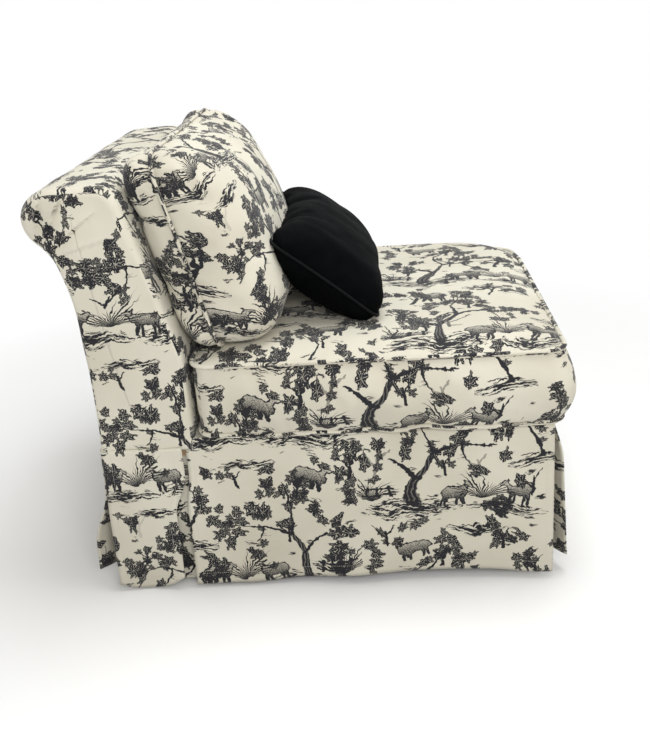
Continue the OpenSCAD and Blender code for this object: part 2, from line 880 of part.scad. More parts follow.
// Zips: a tape with its closed chain, a slider that straddles the chain, and a pull tab
tape_w = 26;
tape_t = 0.8;
chain_w = 5.6;
chain_t = 1.8;
slider_w = 9;
slider_l = 12;
slider_t = 1.2;
slider_gap = 0.3;
lug_w = 2.4;
pull_w = 7;
pull_l = 24;
pull_t = 1;
pull_pin_d = 1.4;
pull_pin_gap = 0.05;
seat_zip_l = 560;
back_zip_l = 380;

// Drawn with the chain along X and its outer side along Z
module zip(l) {
  translate([-l / 2, -tape_w / 2, 0]) cube([l, tape_w, tape_t]);
  translate([-l / 2, -chain_w / 2, tape_t]) cube([l, chain_w, chain_t]);
}

slider_low = tape_t + slider_gap;
slider_top = tape_t + chain_t + slider_gap + slider_t;
pull_pin_z = slider_top + pull_pin_d / 2 + slider_gap;

module zip_slider() {
  difference() {
    translate([-slider_l / 2, -slider_w / 2, slider_low])
      cube([slider_l, slider_w, slider_top - slider_low]);
    translate([-slider_l, -chain_w / 2 - slider_gap, 0])
      cube([2 * slider_l, chain_w + 2 * slider_gap, tape_t + chain_t + slider_gap]);
  }
  difference() {
    for (side = [-1, 1])
      translate([-lug_w / 2, side * (pull_w + lug_w) / 2 + side * slider_gap - lug_w / 2,
          slider_top - slider_t])
        cube([lug_w, lug_w, pull_pin_z + pull_pin_d - slider_top + slider_t]);
    translate([0, -slider_w, pull_pin_z]) rotate([-90, 0, 0])
      cylinder(d = pull_pin_d + 2 * pull_pin_gap, h = 2 * slider_w);
  }
}

// The pull hangs from its pin along -X, flat against the cushion
module zip_pull() {
  pin_l = pull_w + 2 * slider_gap + 2 * lug_w;
  translate([0, -pin_l / 2, pull_pin_z]) rotate([-90, 0, 0]) cylinder(d = pull_pin_d, h = pin_l);
  translate([-pull_l, -pull_w / 2, pull_pin_z - pull_t / 2]) cube([pull_l, pull_w, pull_t]);
}

seat_zip_z = (seat_panel_z + seat_floor_z + panel_t) / 2;
slider_y_share = 0.47;
seat_slider_y = -slider_y_share * seat_zip_l;

module on_seat_boxing(y) {
  translate([cushion_rear_x, y, seat_zip_z]) rotate([0, -90, 0]) rotate([0, 0, 90]) children();
}

module seat_zip() {
  color(black_cloth) on_seat_boxing(0) zip(seat_zip_l);
}

module seat_zip_slider() {
  color(zinc) on_seat_boxing(seat_slider_y) zip_slider();
}

module seat_zip_pull() {
  color(zinc) on_seat_boxing(seat_slider_y) zip_pull();
}

// Back cushion: its seam lies in a plane that leans with the back, and it stands on the seat
fine_shares = [0.25, 0.47, 0.66, 0.82, 0.93, 1];
cushion_edge = 3;
back_a = back_cushion_w / 2;
back_b = back_cushion_h / 2;
back_power = 2.6;
rear_power = 5;
back_outline_points =
  rounded_outline(back_a, back_b, back_cushion_corner_r, 2, 4);
back_seam_reach = back_cushion_rear + cushion_edge + rest_gap;
back_foot_z = seat_top_z(back_front_x + back_seam_reach, 0) + 2 * back_welt_r + 2 * rest_gap;
back_foot_x = back_front_x + back_seam_reach - max(0, back_foot_z - knee_z) * tan(lean);
back_place = function (p)
  [back_foot_x - (p[1] + back_b) * sin(lean) + p[2], p[0],
   back_foot_z + (p[1] + back_b) * cos(lean)];

function back_front_surface(p, s) =
  cushion_edge + back_cushion_front * bulge(p, s, back_a, back_b, back_power);

function back_rear_surface(s) = -cushion_edge - back_cushion_rear * pressed(s, rear_power);

module back_cushion_fill() {
  color(batting) soft_solid(back_outline_points, fine_shares,
    function (p, s) back_front_surface(p, s) - panel_t - foam_gap,
    function (p, s) back_rear_surface(s) + panel_t + foam_gap, back_place);
}

module back_cushion_front_panel() {
  color(toile) soft_solid(back_outline_points, fine_shares,
    function (p, s) back_front_surface(p, s),
    function (p, s) back_front_surface(p, s) - panel_t, back_place);
}

module back_cushion_rear_panel() {
  color(toile) soft_solid(back_outline_points, fine_shares,
    function (p, s) back_rear_surface(s) + panel_t,
    function (p, s) back_rear_surface(s), back_place);
}

module back_cushion_welt() {
  ring = rounded_outline(back_a + back_welt_r + rest_gap, back_b + back_welt_r + rest_gap,
    back_cushion_corner_r + back_welt_r + rest_gap, 2, 4);
  color(toile) swept_bar([for (p = ring) back_place([p[0], p[1], 0])], back_welt_r,
    [1, 0, 0], true);
}

// The back cushion's zip lies on the flat strip of the rear panel above its bottom seam
strip_low = fine_shares[4];
strip_high = fine_shares[3];
zip_low = back_place([0, -strip_low * back_b, back_rear_surface(strip_low)]);
zip_high = back_place([0, -strip_high * back_b, back_rear_surface(strip_high)]);
zip_tilt = atan2(zip_high[0] - zip_low[0], zip_high[2] - zip_low[2]);
back_slider_y = -slider_y_share * back_zip_l;

module on_rear_panel(y) {
  translate((zip_low + zip_high) / 2 + [0, y, 0])
    rotate([0, zip_tilt, 0]) translate([-rest_gap, 0, 0])
      rotate([0, -90, 0]) rotate([0, 0, 90]) children();
}

module back_zip() {
  color(black_cloth) on_rear_panel(0) zip(back_zip_l);
}

module back_zip_slider() {
  color(zinc) on_rear_panel(back_slider_y) zip_slider();
}

module back_zip_pull() {
  color(zinc) on_rear_panel(back_slider_y) zip_pull();
}

// Throw pillow: it rests on the seat cushion with its upper edge against the back cushion
pillow_a = pillow_l / 2;
pillow_b = pillow_w / 2;
pillow_power = 2.2;
pillow_edge = 2;
pillow_outline =
  rounded_outline(pillow_a, pillow_b, pillow_corner_r, 2, 3);
pillow_long = [sin(pillow_turn), cos(pillow_turn), 0];
pillow_flat = [cos(pillow_turn), -sin(pillow_turn), 0];
pillow_down = pillow_flat * cos(pillow_slope) + [0, 0, -sin(pillow_slope)];
pillow_up = pillow_flat * sin(pillow_slope) + [0, 0, cos(pillow_slope)];

function pillow_surface(p, s) =
  pillow_edge + pillow_t * bulge(p, s, pillow_a, pillow_b, pillow_power);

function pillow_at(p) = -p[0] * pillow_long + p[1] * pillow_down + p[2] * pillow_up;

// The places where the pillow could touch, on its underside and along its piping. The
// seat's flat facets lie a little below its true crown, so the pillow settles by that much
crown_facet_drop = 0.7;
touch_outline = rounded_outline(pillow_a + 2 * piping_r, pillow_b + 2 * piping_r,
  pillow_corner_r + 2 * piping_r, 6, 12);
touch_points = [for (s = cushion_shares) for (p = touch_outline)
  pillow_at([s * p[0], s * p[1], -max(pillow_surface(s * p, s), piping_r)])];

function back_front_x_at(y, z) =
  let (v = (z - back_foot_z) / cos(lean) - back_b, u = abs(y) / back_a, w = abs(v) / back_b)
  back_foot_x - (v + back_b) * sin(lean) + (u < 1 && w < 1
    ? cushion_edge + back_cushion_front
      * sqrt((1 - pow(u, back_power)) * (1 - pow(w, back_power))) : -reach);

function drop(at) = max([for (p = touch_points)
  seat_top_z(at[0] + p[0], at[1] + p[1]) + rest_gap - crown_facet_drop - p[2]]);

function push(at) = max([for (p = touch_points)
  back_front_x_at(at[1] + p[1], at[2] + p[2]) + rest_gap - p[0]]);

function settle(at, times) = times == 0 ? at :
  let (moved = [push(at), at[1], at[2]]) settle([moved[0], at[1], drop(moved)], times - 1);

pillow_start = [cushion_mid_x - pillow_w / 2, -pillow_shift, seat_h + pillow_w / 2];
pillow_centre = settle(pillow_start, 6);
pillow_place = function (p) pillow_centre + pillow_at(p);

module pillow_fill() {
  color(batting) soft_solid(pillow_outline, cushion_shares,
    function (p, s) pillow_surface(p, s) - cover_t - foam_gap / 2,
    function (p, s) cover_t + foam_gap / 2 - pillow_surface(p, s), pillow_place);
}

module pillow_front_panel() {
  color(black_cloth) soft_solid(pillow_outline, cushion_shares,
    function (p, s) pillow_surface(p, s),
    function (p, s) pillow_surface(p, s) - cover_t, pillow_place);
}

module pillow_rear_panel() {
  color(black_cloth) soft_solid(pillow_outline, cushion_shares,
    function (p, s) cover_t - pillow_surface(p, s),
    function (p, s) -pillow_surface(p, s), pillow_place);
}

module pillow_piping() {
  ring = rounded_outline(pillow_a + piping_r + rest_gap, pillow_b + piping_r + rest_gap,
    pillow_corner_r + piping_r + rest_gap, 2, 3);
  color(black_cloth) swept_bar([for (p = ring) pillow_place([p[0], p[1], 0])], piping_r,
    pillow_up, true);
}

front_rail();
side_rail_left();
side_rail_right();
back_rail();
spring_rail();
tack_rail();
top_rail();
roll_rail();
back_panel_left();
back_panel_right();
roll_ribs();
roll_board();
rear_board();
frame_dowels();
corner_blocks();
legs();
leg_bolts();
glides();
seat_springs();
back_springs();
spring_clips();
edge_rolls();
seat_burlap();
back_burlap();
deck_pad();
deck_cover();
back_padding();
roll_padding();
side_padding();
dust_cover();
inside_back_cover();
outside_back_cover();
back_facing_left();
back_facing_right();
skirt_front();
skirt_rear();
skirt_seat_left();
skirt_seat_right();
skirt_back_left();
skirt_back_right();
skirt_underlays();
seat_foam();
seat_cushion_top();
seat_cushion_bottom();
seat_boxing();
seat_welts();
seat_zip();
seat_zip_slider();
seat_zip_pull();
back_cushion_fill();
back_cushion_front_panel();
back_cushion_rear_panel();
back_cushion_welt();
back_zip();
back_zip_slider();
back_zip_pull();
pillow_fill();
pillow_front_panel();
pillow_rear_panel();
pillow_piping();
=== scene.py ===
import json
import math
from functools import reduce
import bmesh
import bpy
import numpy as np
from mathutils import Matrix, Vector, noise
from mathutils.bvhtree import BVHTree


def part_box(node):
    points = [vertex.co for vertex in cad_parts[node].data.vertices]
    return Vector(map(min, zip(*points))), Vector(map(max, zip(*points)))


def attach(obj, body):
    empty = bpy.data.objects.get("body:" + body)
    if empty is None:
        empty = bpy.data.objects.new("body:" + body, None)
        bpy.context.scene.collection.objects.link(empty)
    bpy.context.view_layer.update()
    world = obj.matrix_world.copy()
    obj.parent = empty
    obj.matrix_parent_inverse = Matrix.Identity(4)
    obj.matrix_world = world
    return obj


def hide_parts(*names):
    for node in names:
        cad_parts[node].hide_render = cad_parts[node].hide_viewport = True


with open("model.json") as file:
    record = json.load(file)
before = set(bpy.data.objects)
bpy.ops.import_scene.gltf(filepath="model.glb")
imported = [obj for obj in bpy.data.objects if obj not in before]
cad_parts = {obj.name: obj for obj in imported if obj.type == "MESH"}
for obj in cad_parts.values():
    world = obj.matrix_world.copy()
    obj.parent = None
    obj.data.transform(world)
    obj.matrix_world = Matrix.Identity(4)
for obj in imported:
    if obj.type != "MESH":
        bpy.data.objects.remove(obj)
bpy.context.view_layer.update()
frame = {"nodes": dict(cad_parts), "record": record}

# Sizes and places of the chair's parts, in metres
SIDE_Y = 0.345
SEAM_Z = 0.308
DECK_Z = 0.3312
KNEE = (-0.2245, 0.500)
LEAN = math.radians(13.7)
ROLL_CENTRE, ROLL_WIDE, ROLL_TOP, ROLL_LOW = (-0.417, 0.766), 0.062, 0.0535, 0.058
HEAD_CENTRE, HEAD_R = (-0.3425, 0.776), 0.044
WAIST_X, FOOT_X, FOOT_Z, REAR_X = -0.3995, -0.4075, 0.184, -0.4068
HOLLOW_Z, HOLLOW_R, HOLLOW_TOP = 0.545, 0.500, 0.690
SEAT_X, SEAT_A, SEAT_B = 0.1255, 0.340, 0.350
SEAT_TOP, SEAT_LOW, SEAT_CORNER = 0.480, 0.336, 0.036
SEAT_FLOOR = 0.3316
SEAT_CROWN, SEAT_BULGE, SEAT_SLUMP = 0.020, 0.019, 0.020
WELT_R, BACK_WELT_R, PIPING_R = 0.0045, 0.0035, 0.003
BACK_FOOT = (-0.1594, 0.5008)
BACK_W, BACK_HIGH = 0.646, 0.412
BACK_CORNERS = (0.060, 0.040)
PILLOW_L, PILLOW_W, PILLOW_CORNERS = 0.430, 0.262, (0.030, 0.030)
PILLOW_CENTRE = Vector((0.0310, -0.018, 0.5922))
PILLOW_SLOPE, PILLOW_TURN = math.radians(40), math.radians(-2)
PLEAT_X, PLEAT_W = -0.2675, 0.036
SKIRT_Y, SKIRT_FRONT_X, SKIRT_T = 0.3393, 0.4398, 0.0025
COVER_T, COVER_MESH, MERGE = 0.0015, 0.0045, 0.00002
LYING_GAP, LEANING_GAP, SQUASHED = 0.0014, 0.0025, 0.02


# Camera, where it was fitted to the photograph
def place_camera():
    pitch, yaw, roll = 0.37198, -0.071892, -0.074717
    forward = Vector((math.sin(yaw) * math.cos(pitch), math.cos(yaw) * math.cos(pitch), -math.sin(pitch)))
    level = Vector((math.cos(yaw), -math.sin(yaw), 0))
    upward = level.cross(forward)
    right = math.cos(roll) * level + math.sin(roll) * upward
    up = -math.sin(roll) * level + math.cos(roll) * upward
    data = bpy.data.cameras.new("camera")
    camera = bpy.data.objects.new("camera", data)
    bpy.context.scene.collection.objects.link(camera)
    turn = Matrix((right, up, -forward)).transposed().to_4x4()
    camera.matrix_world = Matrix.Translation((0.1443, -1.8093, 1.1172)) @ turn
    data.sensor_width = 36
    data.lens = 42.52
    data.shift_y = -0.0635
    bpy.context.scene.camera = camera


# Shader sums: a wire stands for a socket and can be used like a number
class Wire:
    def __init__(self, graph, socket):
        self.graph = graph
        self.socket = socket

    def __add__(self, other):
        return self.graph.math("ADD", self, other)

    def __sub__(self, other):
        return self.graph.math("SUBTRACT", self, other)

    def __rsub__(self, other):
        return self.graph.math("SUBTRACT", other, self)

    def __mul__(self, other):
        return self.graph.math("MULTIPLY", self, other)

    def __truediv__(self, other):
        return self.graph.math("DIVIDE", self, other)

    __radd__ = __add__
    __rmul__ = __mul__


class Graph:
    def __init__(self, tree):
        self.tree = tree

    def node(self, kind, settings=None, sockets=None, output=0):
        """A node with these settings, and values or links for its sockets"""
        made = self.tree.nodes.new(kind)
        for name, value in (settings or {}).items():
            setattr(made, name, value)
        for name, value in (sockets or {}).items():
            if isinstance(value, Wire):
                self.tree.links.new(value.socket, made.inputs[name])
            else:
                made.inputs[name].default_value = value
        return Wire(self, made.outputs[output])

    def outputs(self, wire):
        """Every output of the node that a wire comes from"""
        return [Wire(self, socket) for socket in wire.socket.node.outputs]

    def math(self, operation, *values, clamp=False):
        return self.node("ShaderNodeMath", {"operation": operation, "use_clamp": clamp},
                         dict(enumerate(values)))

    def vector(self, operation, *values, output=0):
        return self.node("ShaderNodeVectorMath", {"operation": operation},
                         dict(enumerate(values)), output)

    def scaled(self, place, factor):
        return self.node("ShaderNodeVectorMath", {"operation": "SCALE"}, {0: place, "Scale": factor})

    def length(self, place):
        return self.vector("LENGTH", place, output=1)

    def size(self, number):
        return self.math("ABSOLUTE", number)

    def below(self, number, limit):
        return self.math("LESS_THAN", number, limit)

    def parts(self, place):
        """The x, y and z of a place"""
        return self.outputs(self.node("ShaderNodeSeparateXYZ", None, {0: place}))

    def chance(self, colour):
        """A number between 0 and 1 from a random colour"""
        return self.node("ShaderNodeSeparateColor", None, {0: colour})

    def blend(self, factor, low, high):
        low, high = [side if isinstance(side, Wire) else (*side, 1) for side in (low, high)]
        return self.node("ShaderNodeMix", {"data_type": "RGBA"}, {0: factor, 6: low, 7: high}, 2)

    def noise(self, place, scale, detail, flat=False, output=0, **more):
        """A noise texture; a flat one varies over x and y only"""
        return self.node("ShaderNodeTexNoise", {"noise_dimensions": "2D"} if flat else None,
                         {"Vector": place, "Scale": scale, "Detail": detail, **more}, output)

    def cells(self, place, scale, randomness=1.0, **settings):
        """A Voronoi texture, flat unless set otherwise: distance, random colour and middle of each cell"""
        first = self.node("ShaderNodeTexVoronoi", {"voronoi_dimensions": "2D", **settings},
                          {"Vector": place, "Scale": scale, "Randomness": randomness})
        return self.outputs(first)[:3]

    def step(self, distance, edge):
        """1 inside a shape whose distance is below 0, with an edge this soft"""
        return self.math("MULTIPLY_ADD", distance, -1 / edge, 0.5, clamp=True)

    def least(self, *wires):
        return reduce(lambda one, other: self.math("MINIMUM", one, other), wires)

    def most(self, *wires):
        return reduce(lambda one, other: self.math("MAXIMUM", one, other), wires)


# Print: a country pattern in charcoal, drawn in centimetres on the cloth
REPEAT_W, REPEAT_H, THICKET = 38.0, 32.0, 9.5
TRUNK = [((28, 4.5), (27, 10), 1.2, 0.75), ((27, 10), (24, 15), 0.75, 0.42)]
BOUGHS = [((24, 15), (18.5, 17), 0.36, 0.2), ((18.5, 17), (12, 16.5), 0.2, 0.1),
          ((27, 10), (32, 14.5), 0.42, 0.18), ((24, 15), (25.5, 20.5), 0.34, 0.18),
          ((25.5, 20.5), (22.5, 25), 0.25, 0.12), ((18.5, 17), (16.5, 13), 0.25, 0.12),
          ((3.5, 13.5), (6.5, 21.5), 0.4, 0.2), ((6.5, 21.5), (4.2, 25.5), 0.2, 0.12)]
CROWNS = [(13.0, 17.6, 2.9), (9.6, 16, 2.1), (17.6, 19, 2.4), (16, 12.2, 2.1), (22, 25.4, 3.0),
          (26.4, 22.8, 2.5), (19.2, 22.8, 2.0), (34.6, 15.4, 2.6), (33.2, 11.2, 1.9), (29.6, 18, 2.2),
          (6.4, 22, 2.5), (3.4, 26.4, 2.0), (9.8, 19.8, 1.4), (2.8, 18.4, 1.6), (35.6, 27.4, 2.5),
          (31, 29.4, 2.0), (10, 29.2, 2.3), (36, 21.5, 1.8)]
GROUNDS = [(27.5, 3.2, 8.0, 1.9), (10, 2.8, 7.0, 1.3), (4.6, 12.6, 4.4, 1.3), (16.5, 30.2, 4.5, 0.9)]
TUFTS = [(35.0, 5.0, 1), (14.5, 4.6, 1)]
SHRUB = [((0, -4.2), (0.3, -0.8), 0.36, 0.2), ((0.1, -2.4), (-2.0, -0.4), 0.2, 0.1),
         ((0.2, -1.8), (2.0, 0.4), 0.2, 0.1)]
SHEEP = [((-1.6, 0.2), (1.5, 0.4), 1.15, 1.25), ((-1.9, 0.6), (-2.9, 1.7), 0.62, 0.42),
         ((-2.9, 1.8), (-3.8, 1.3), 0.45, 0.24), ((-2.6, 2.0), (-2.1, 2.5), 0.18, 0.08),
         ((-1.7, -0.6), (-2.0, -2.7), 0.34, 0.15), ((-1.0, -0.6), (-0.9, -2.6), 0.3, 0.15),
         ((1.2, -0.5), (1.5, -2.7), 0.38, 0.15), ((1.9, -0.2), (2.4, -2.5), 0.36, 0.15),
         ((2.5, 0.7), (3.0, 0.1), 0.2, 0.1)]
FLOCK = [(20.2, 6.2, 1), (8.0, 6.8, -1), (28.4, 27.0, -1)]
FENCE = (30.0, 37.0, 5.6, 8.4)


def stroke(graph, place, start, end, wide, thin):
    """Distance to the edge of a tapered pen stroke"""
    along = (end[0] - start[0], end[1] - start[1])
    length2 = along[0] ** 2 + along[1] ** 2
    offset = graph.vector("SUBTRACT", place, (*start, 0))
    way = graph.vector("DOT_PRODUCT", offset, (along[0] / length2, along[1] / length2, 0), output=1)
    share = graph.math("MULTIPLY", way, 1, clamp=True)
    distance = graph.vector("DISTANCE", offset, graph.scaled((*along, 0), share), output=1)
    return graph.math("MULTIPLY_ADD", share, wide - thin, distance) - wide


def drawing(graph, place, strokes):
    """Distance to the nearest of these strokes"""
    return graph.least(*[stroke(graph, place, *part) for part in strokes])


def half_drop(graph, place):
    """The place within one repeat, where every other column is turned over and drops by half"""
    x, y, unused = graph.parts(place)
    column = graph.math("FLOOR", x / REPEAT_W)
    odd = graph.math("FLOORED_MODULO", column, 2)
    across = x - column * REPEAT_W
    turned = across + odd * (REPEAT_W - 2 * across)
    up = graph.math("FLOORED_MODULO", y + odd * (REPEAT_H / 2), REPEAT_H)
    return graph.node("ShaderNodeCombineXYZ", None, {0: turned, 1: up})


def thickets(graph, place):
    """Cells in which a shrub may stand: distance from its middle, its middle and its luck"""
    distance, colour, middle = graph.cells(place, 1 / THICKET, 0.85)
    return distance * THICKET, middle, graph.chance(colour)


def leaves(graph, place, spacing, size, seed, gap):
    """Rosettes of pointed leaflets, only where their middle lies in a crown or a shrub"""
    shift = (seed, seed * 0.7, 0)
    shifted = graph.vector("ADD", place, shift)
    unused, colour, field = graph.cells(shifted, 1 / spacing, 0.75)
    chance = graph.chance(colour)
    local = graph.node("ShaderNodeVectorRotate", {"rotation_type": "Z_AXIS"},
                       {"Vector": graph.vector("SUBTRACT", shifted, field), "Angle": chance * math.tau})
    x, y, unused = graph.parts(local)
    r = graph.length(local) / size
    turn = graph.math("MULTIPLY_ADD", graph.math("ARCTAN2", y, x), 6 / math.tau, 0.5)
    side = graph.math("FLOORED_MODULO", turn, 1) - 0.5
    across = graph.size(side) * r
    lobes = 1 + 0.30 * graph.math("SINE", r * 24)
    shape = graph.step(across - r * (1.02 - r) * 0.95 * lobes, 0.05)
    vein = graph.step(across - 0.018, 0.03)
    shade = 0.78 + 0.22 * graph.step(side, 0.06)
    middle = graph.vector("SUBTRACT", field, shift)
    crown_place = half_drop(graph, middle)
    crown = graph.least(*[graph.vector("DISTANCE", crown_place, (cx, cy, 0), output=1) - cr
                          for cx, cy, cr in CROWNS])
    away, unused, luck = thickets(graph, middle)
    ragged = graph.noise(middle, 0.55, 1.0, flat=True)
    crown = graph.least(crown, away - 2.8 * luck) + 5.0 * ragged - 2.35
    ink = shape * shade * (1 - 0.7 * vein)
    return ink * graph.below(crown, 0.0) * graph.math("GREATER_THAN", chance, gap)


def nearest_of(graph, spot, places, reach):
    """The place measured from whichever of these points lies within reach, turned over where asked"""
    found = graph.vector("SUBTRACT", spot, (*places[0][:2], 0))
    for x, y, facing in places[1:]:
        offset = graph.vector("MULTIPLY", graph.vector("SUBTRACT", spot, (x, y, 0)), (facing, 1, 1))
        nearer = graph.below(graph.length(offset), reach)
        found = graph.node("ShaderNodeMix", {"data_type": "VECTOR"}, {0: nearer, 4: found, 5: offset}, 1)
    return found


def print_group():
    tree = bpy.data.node_groups.new("country_print", "ShaderNodeTree")
    tree.interface.new_socket("Cloth", in_out="INPUT", socket_type="NodeSocketVector")
    tree.interface.new_socket("Ink", in_out="OUTPUT", socket_type="NodeSocketFloat")
    graph = Graph(tree)
    flat = graph.scaled(graph.node("NodeGroupInput"), 100.0)
    sway = graph.noise(flat, 0.09, 1.0, flat=True, output=1)
    shake = graph.noise(flat, 0.9, 2.0, flat=True, output=1)
    place = graph.vector("MULTIPLY_ADD", sway, (5.0, 5.0, 0), flat)
    place = graph.vector("MULTIPLY_ADD", shake, (0.8, 0.8, 0), place)
    spot = half_drop(graph, place)
    x, y, unused = graph.parts(spot)

    bark = graph.math("SINE", (x + 0.16 * y) * 9.0) * 0.5 + 0.5
    wood = graph.step(drawing(graph, spot, TRUNK), 0.08) * (0.6 + 0.4 * bark)
    unused, middle, luck = thickets(graph, place)
    stems = graph.most(drawing(graph, graph.vector("SUBTRACT", place, middle), SHRUB), 0.45 - luck)
    boughs = graph.step(graph.least(stems, drawing(graph, spot, BOUGHS)), 0.08) * 0.92

    sheep_at = nearest_of(graph, spot, FLOCK, 5.0)
    animal = drawing(graph, sheep_at, SHEEP)
    outline = graph.step(graph.size(animal) - 0.12, 0.08)
    wool = graph.cells(spot, 2.6, feature="DISTANCE_TO_EDGE")[0]
    belly = graph.math("MULTIPLY_ADD", graph.parts(sheep_at)[1], -0.35, 0.45, clamp=True)
    fleece = graph.step(animal, 0.08) * (0.16 + 0.6 * belly + 0.4 * graph.step(wool - 0.09, 0.08))
    sheep = graph.most(outline * 0.95, fleece)

    tuft_at = nearest_of(graph, spot, TUFTS, 8.5)
    tx, ty, unused = graph.parts(tuft_at)
    far = graph.length(tuft_at)
    fan = graph.math("ARCTAN2", tx, ty)
    blade = (fan + fan * far * -0.035) * 7.5
    number = graph.math("FLOOR", blade)
    chance = graph.node("ShaderNodeTexWhiteNoise", {"noise_dimensions": "1D"}, {"W": number})
    width = (1.0 - far / (3.8 + 4.2 * chance)) * 0.55
    grass = graph.step(graph.size(blade - number - 0.5) - width, 0.12)
    grass = grass * graph.below(graph.size(fan), 1.25) * 0.9

    left, right, foot, top = FENCE
    from_middle = y - (foot + top) / 2
    rails = graph.size(graph.size(from_middle) - 0.75) - 0.2
    posts = graph.size(graph.math("FLOORED_MODULO", x, 2.3) - 1.1) - 0.3
    inside = graph.most(graph.size(x - (left + right) / 2) - (right - left) / 2,
                        graph.size(from_middle) - (top - foot) / 2)
    fence = graph.step(graph.most(graph.least(rails, posts), inside), 0.1) * 0.85

    meadow = graph.least(*[
        graph.length(graph.vector("DIVIDE", graph.vector("SUBTRACT", spot, (cx, cy, 0)), (rx, ry, 1)))
        for cx, cy, rx, ry in GROUNDS])
    streak = graph.noise(graph.vector("MULTIPLY", spot, (0.45, 3.2, 0)), 1.0, 2.0, flat=True, Roughness=0.6)
    ground = graph.step(0.45 + 0.16 * (meadow - 0.5) - streak, 0.05)
    ground = ground * graph.below(meadow, 1.15) * 0.9

    dots, rare, unused = graph.cells(graph.vector("MULTIPLY", spot, (0.16, 0.42, 0)), 1.0)
    picked = graph.math("GREATER_THAN", graph.chance(rare), 0.5)
    marks = graph.step(dots - 0.16, 0.06) * picked * graph.step(0.50 - streak, 0.06) * 0.75

    large, small = leaves(graph, place, 2.7, 1.75, 0.0, 0.08), leaves(graph, place, 2.0, 1.15, 31.0, 0.34)
    ink = graph.most(large, small, wood, boughs, sheep, grass, fence, ground, marks)
    worn = graph.noise(flat, 0.5, 3.0, flat=True)
    ink = graph.math("MULTIPLY", ink, 0.86 + 0.36 * worn, clamp=True)
    out = tree.nodes.new("NodeGroupOutput")
    tree.links.new(ink.socket, out.inputs[0])
    return tree


# Materials
def new_material(name):
    """A material with its graph and the place on the object"""
    material = bpy.data.materials.new(name)
    material.use_nodes = True
    graph = Graph(material.node_tree)
    return material, graph, graph.node("ShaderNodeTexCoord", output=3)


def finish(material, graph, colour, roughness, height, strength, depth, fixed=None):
    """Joins colour, roughness and bump to the shader and sets what is the same all over"""
    shader = material.node_tree.nodes["Principled BSDF"]
    normal = graph.node("ShaderNodeBump", None, {"Height": height, "Strength": strength, "Distance": depth})
    for name, wire in (("Base Color", colour), ("Roughness", roughness), ("Normal", normal)):
        graph.tree.links.new(wire.socket, shader.inputs[name])
    for name, value in (fixed or {}).items():
        shader.inputs[name].default_value = value
    return material


def dimmed(colour, share):
    return tuple(share * part for part in colour)


def weave(graph, place, pitch):
    """Height of a plain weave with this distance between threads"""
    x, y, unused = graph.parts(place)
    warp = graph.math("SINE", x * (math.tau / pitch))
    weft = graph.math("SINE", y * (math.tau / pitch))
    return graph.math("MULTIPLY_ADD", warp * weft, 0.5, 0.5)


def printed_cotton(name, group, solid=False):
    """The printed cloth; a solid has no cloth map, so its print follows its place"""
    material, graph, place = new_material(name)
    cloth = graph.node("ShaderNodeUVMap", {"uv_map": "Cloth"})
    if solid:
        x, y, z = graph.parts(place)
        cloth = graph.node("ShaderNodeCombineXYZ", None, {0: x + y, 1: z + 0.10})
    ink = graph.node("ShaderNodeGroup", {"node_tree": group}, {0: cloth})
    # Darker and lighter patches over the cloth's ground colour: partly dirt, partly painted shade of soft
    # undulations in the cloth
    clouds = graph.noise(place, 5.0, 3.0)
    slub = graph.noise(graph.vector("MULTIPLY", cloth, (1100.0, 90.0, 0)), 1.0, 2.0, flat=True)
    spread = graph.math("MULTIPLY_ADD", clouds, 2.0, -0.5, clamp=True)
    ground = graph.blend(spread, (0.590, 0.555, 0.455), (0.728, 0.700, 0.592))
    ground = graph.blend(slub * 0.10, ground, (0.50, 0.44, 0.34))
    colour = graph.blend(graph.math("MULTIPLY", ink, 1.25, clamp=True), ground, (0.014, 0.014, 0.018))
    crumple = graph.noise(place, 38.0, 3.0, Roughness=0.55)
    wavy = graph.noise(place, 11.0, 1.0, Distortion=0.6)
    height = crumple + 0.12 * weave(graph, cloth, 0.0011) + 5.5 * wavy
    return finish(material, graph, colour, 0.86 - 0.10 * ink, height, 0.32, 0.004,
                  {"Sheen Weight": 0.12, "Sheen Roughness": 0.5, "Specular IOR Level": 0.25})


def black_cotton(name, shine, roughness):
    material, graph, place = new_material(name)
    lint = graph.noise(place, 60.0, 4.0)
    colour = graph.blend(lint, (0.0008, 0.0010, 0.0013), (0.0028, 0.0031, 0.0037))
    height = weave(graph, graph.node("ShaderNodeUVMap", {"uv_map": "Cloth"}), 0.0012) + lint
    return finish(material, graph, colour, roughness + 0.16 * lint, height, 0.3, 0.0018,
                  {"Specular IOR Level": shine})


def wood(name, light, dark, ring_scale):
    material, graph, place = new_material(name)
    stretched = graph.vector("MULTIPLY", place, (ring_scale, ring_scale, ring_scale * 0.09))
    grain = graph.noise(stretched, 1.0, 4.0, Distortion=0.8)
    return finish(material, graph, graph.blend(grain, dark, light), 0.5 + 0.2 * grain, grain, 0.25, 0.001)


def metal(name, colour, roughness, scratch_scale):
    material, graph, place = new_material(name)
    marks = graph.noise(place, scratch_scale, 5.0)
    shade = graph.blend(marks, dimmed(colour, 0.72), colour)
    return finish(material, graph, shade, roughness + 0.22 * marks, marks, 0.15, 0.0003, {"Metallic": 1.0})


def stuffing(name, colour, cell_scale, depth, roughness=0.95):
    material, graph, place = new_material(name)
    cells = graph.cells(place, cell_scale, voronoi_dimensions="3D", feature="SMOOTH_F1")[0]
    clouds = graph.noise(place, 14.0, 4.0)
    shade = graph.blend(cells * 0.6 + clouds * 0.4, colour, dimmed(colour, 0.78))
    return finish(material, graph, shade, roughness - 0.08 * clouds, cells, 0.4, depth)


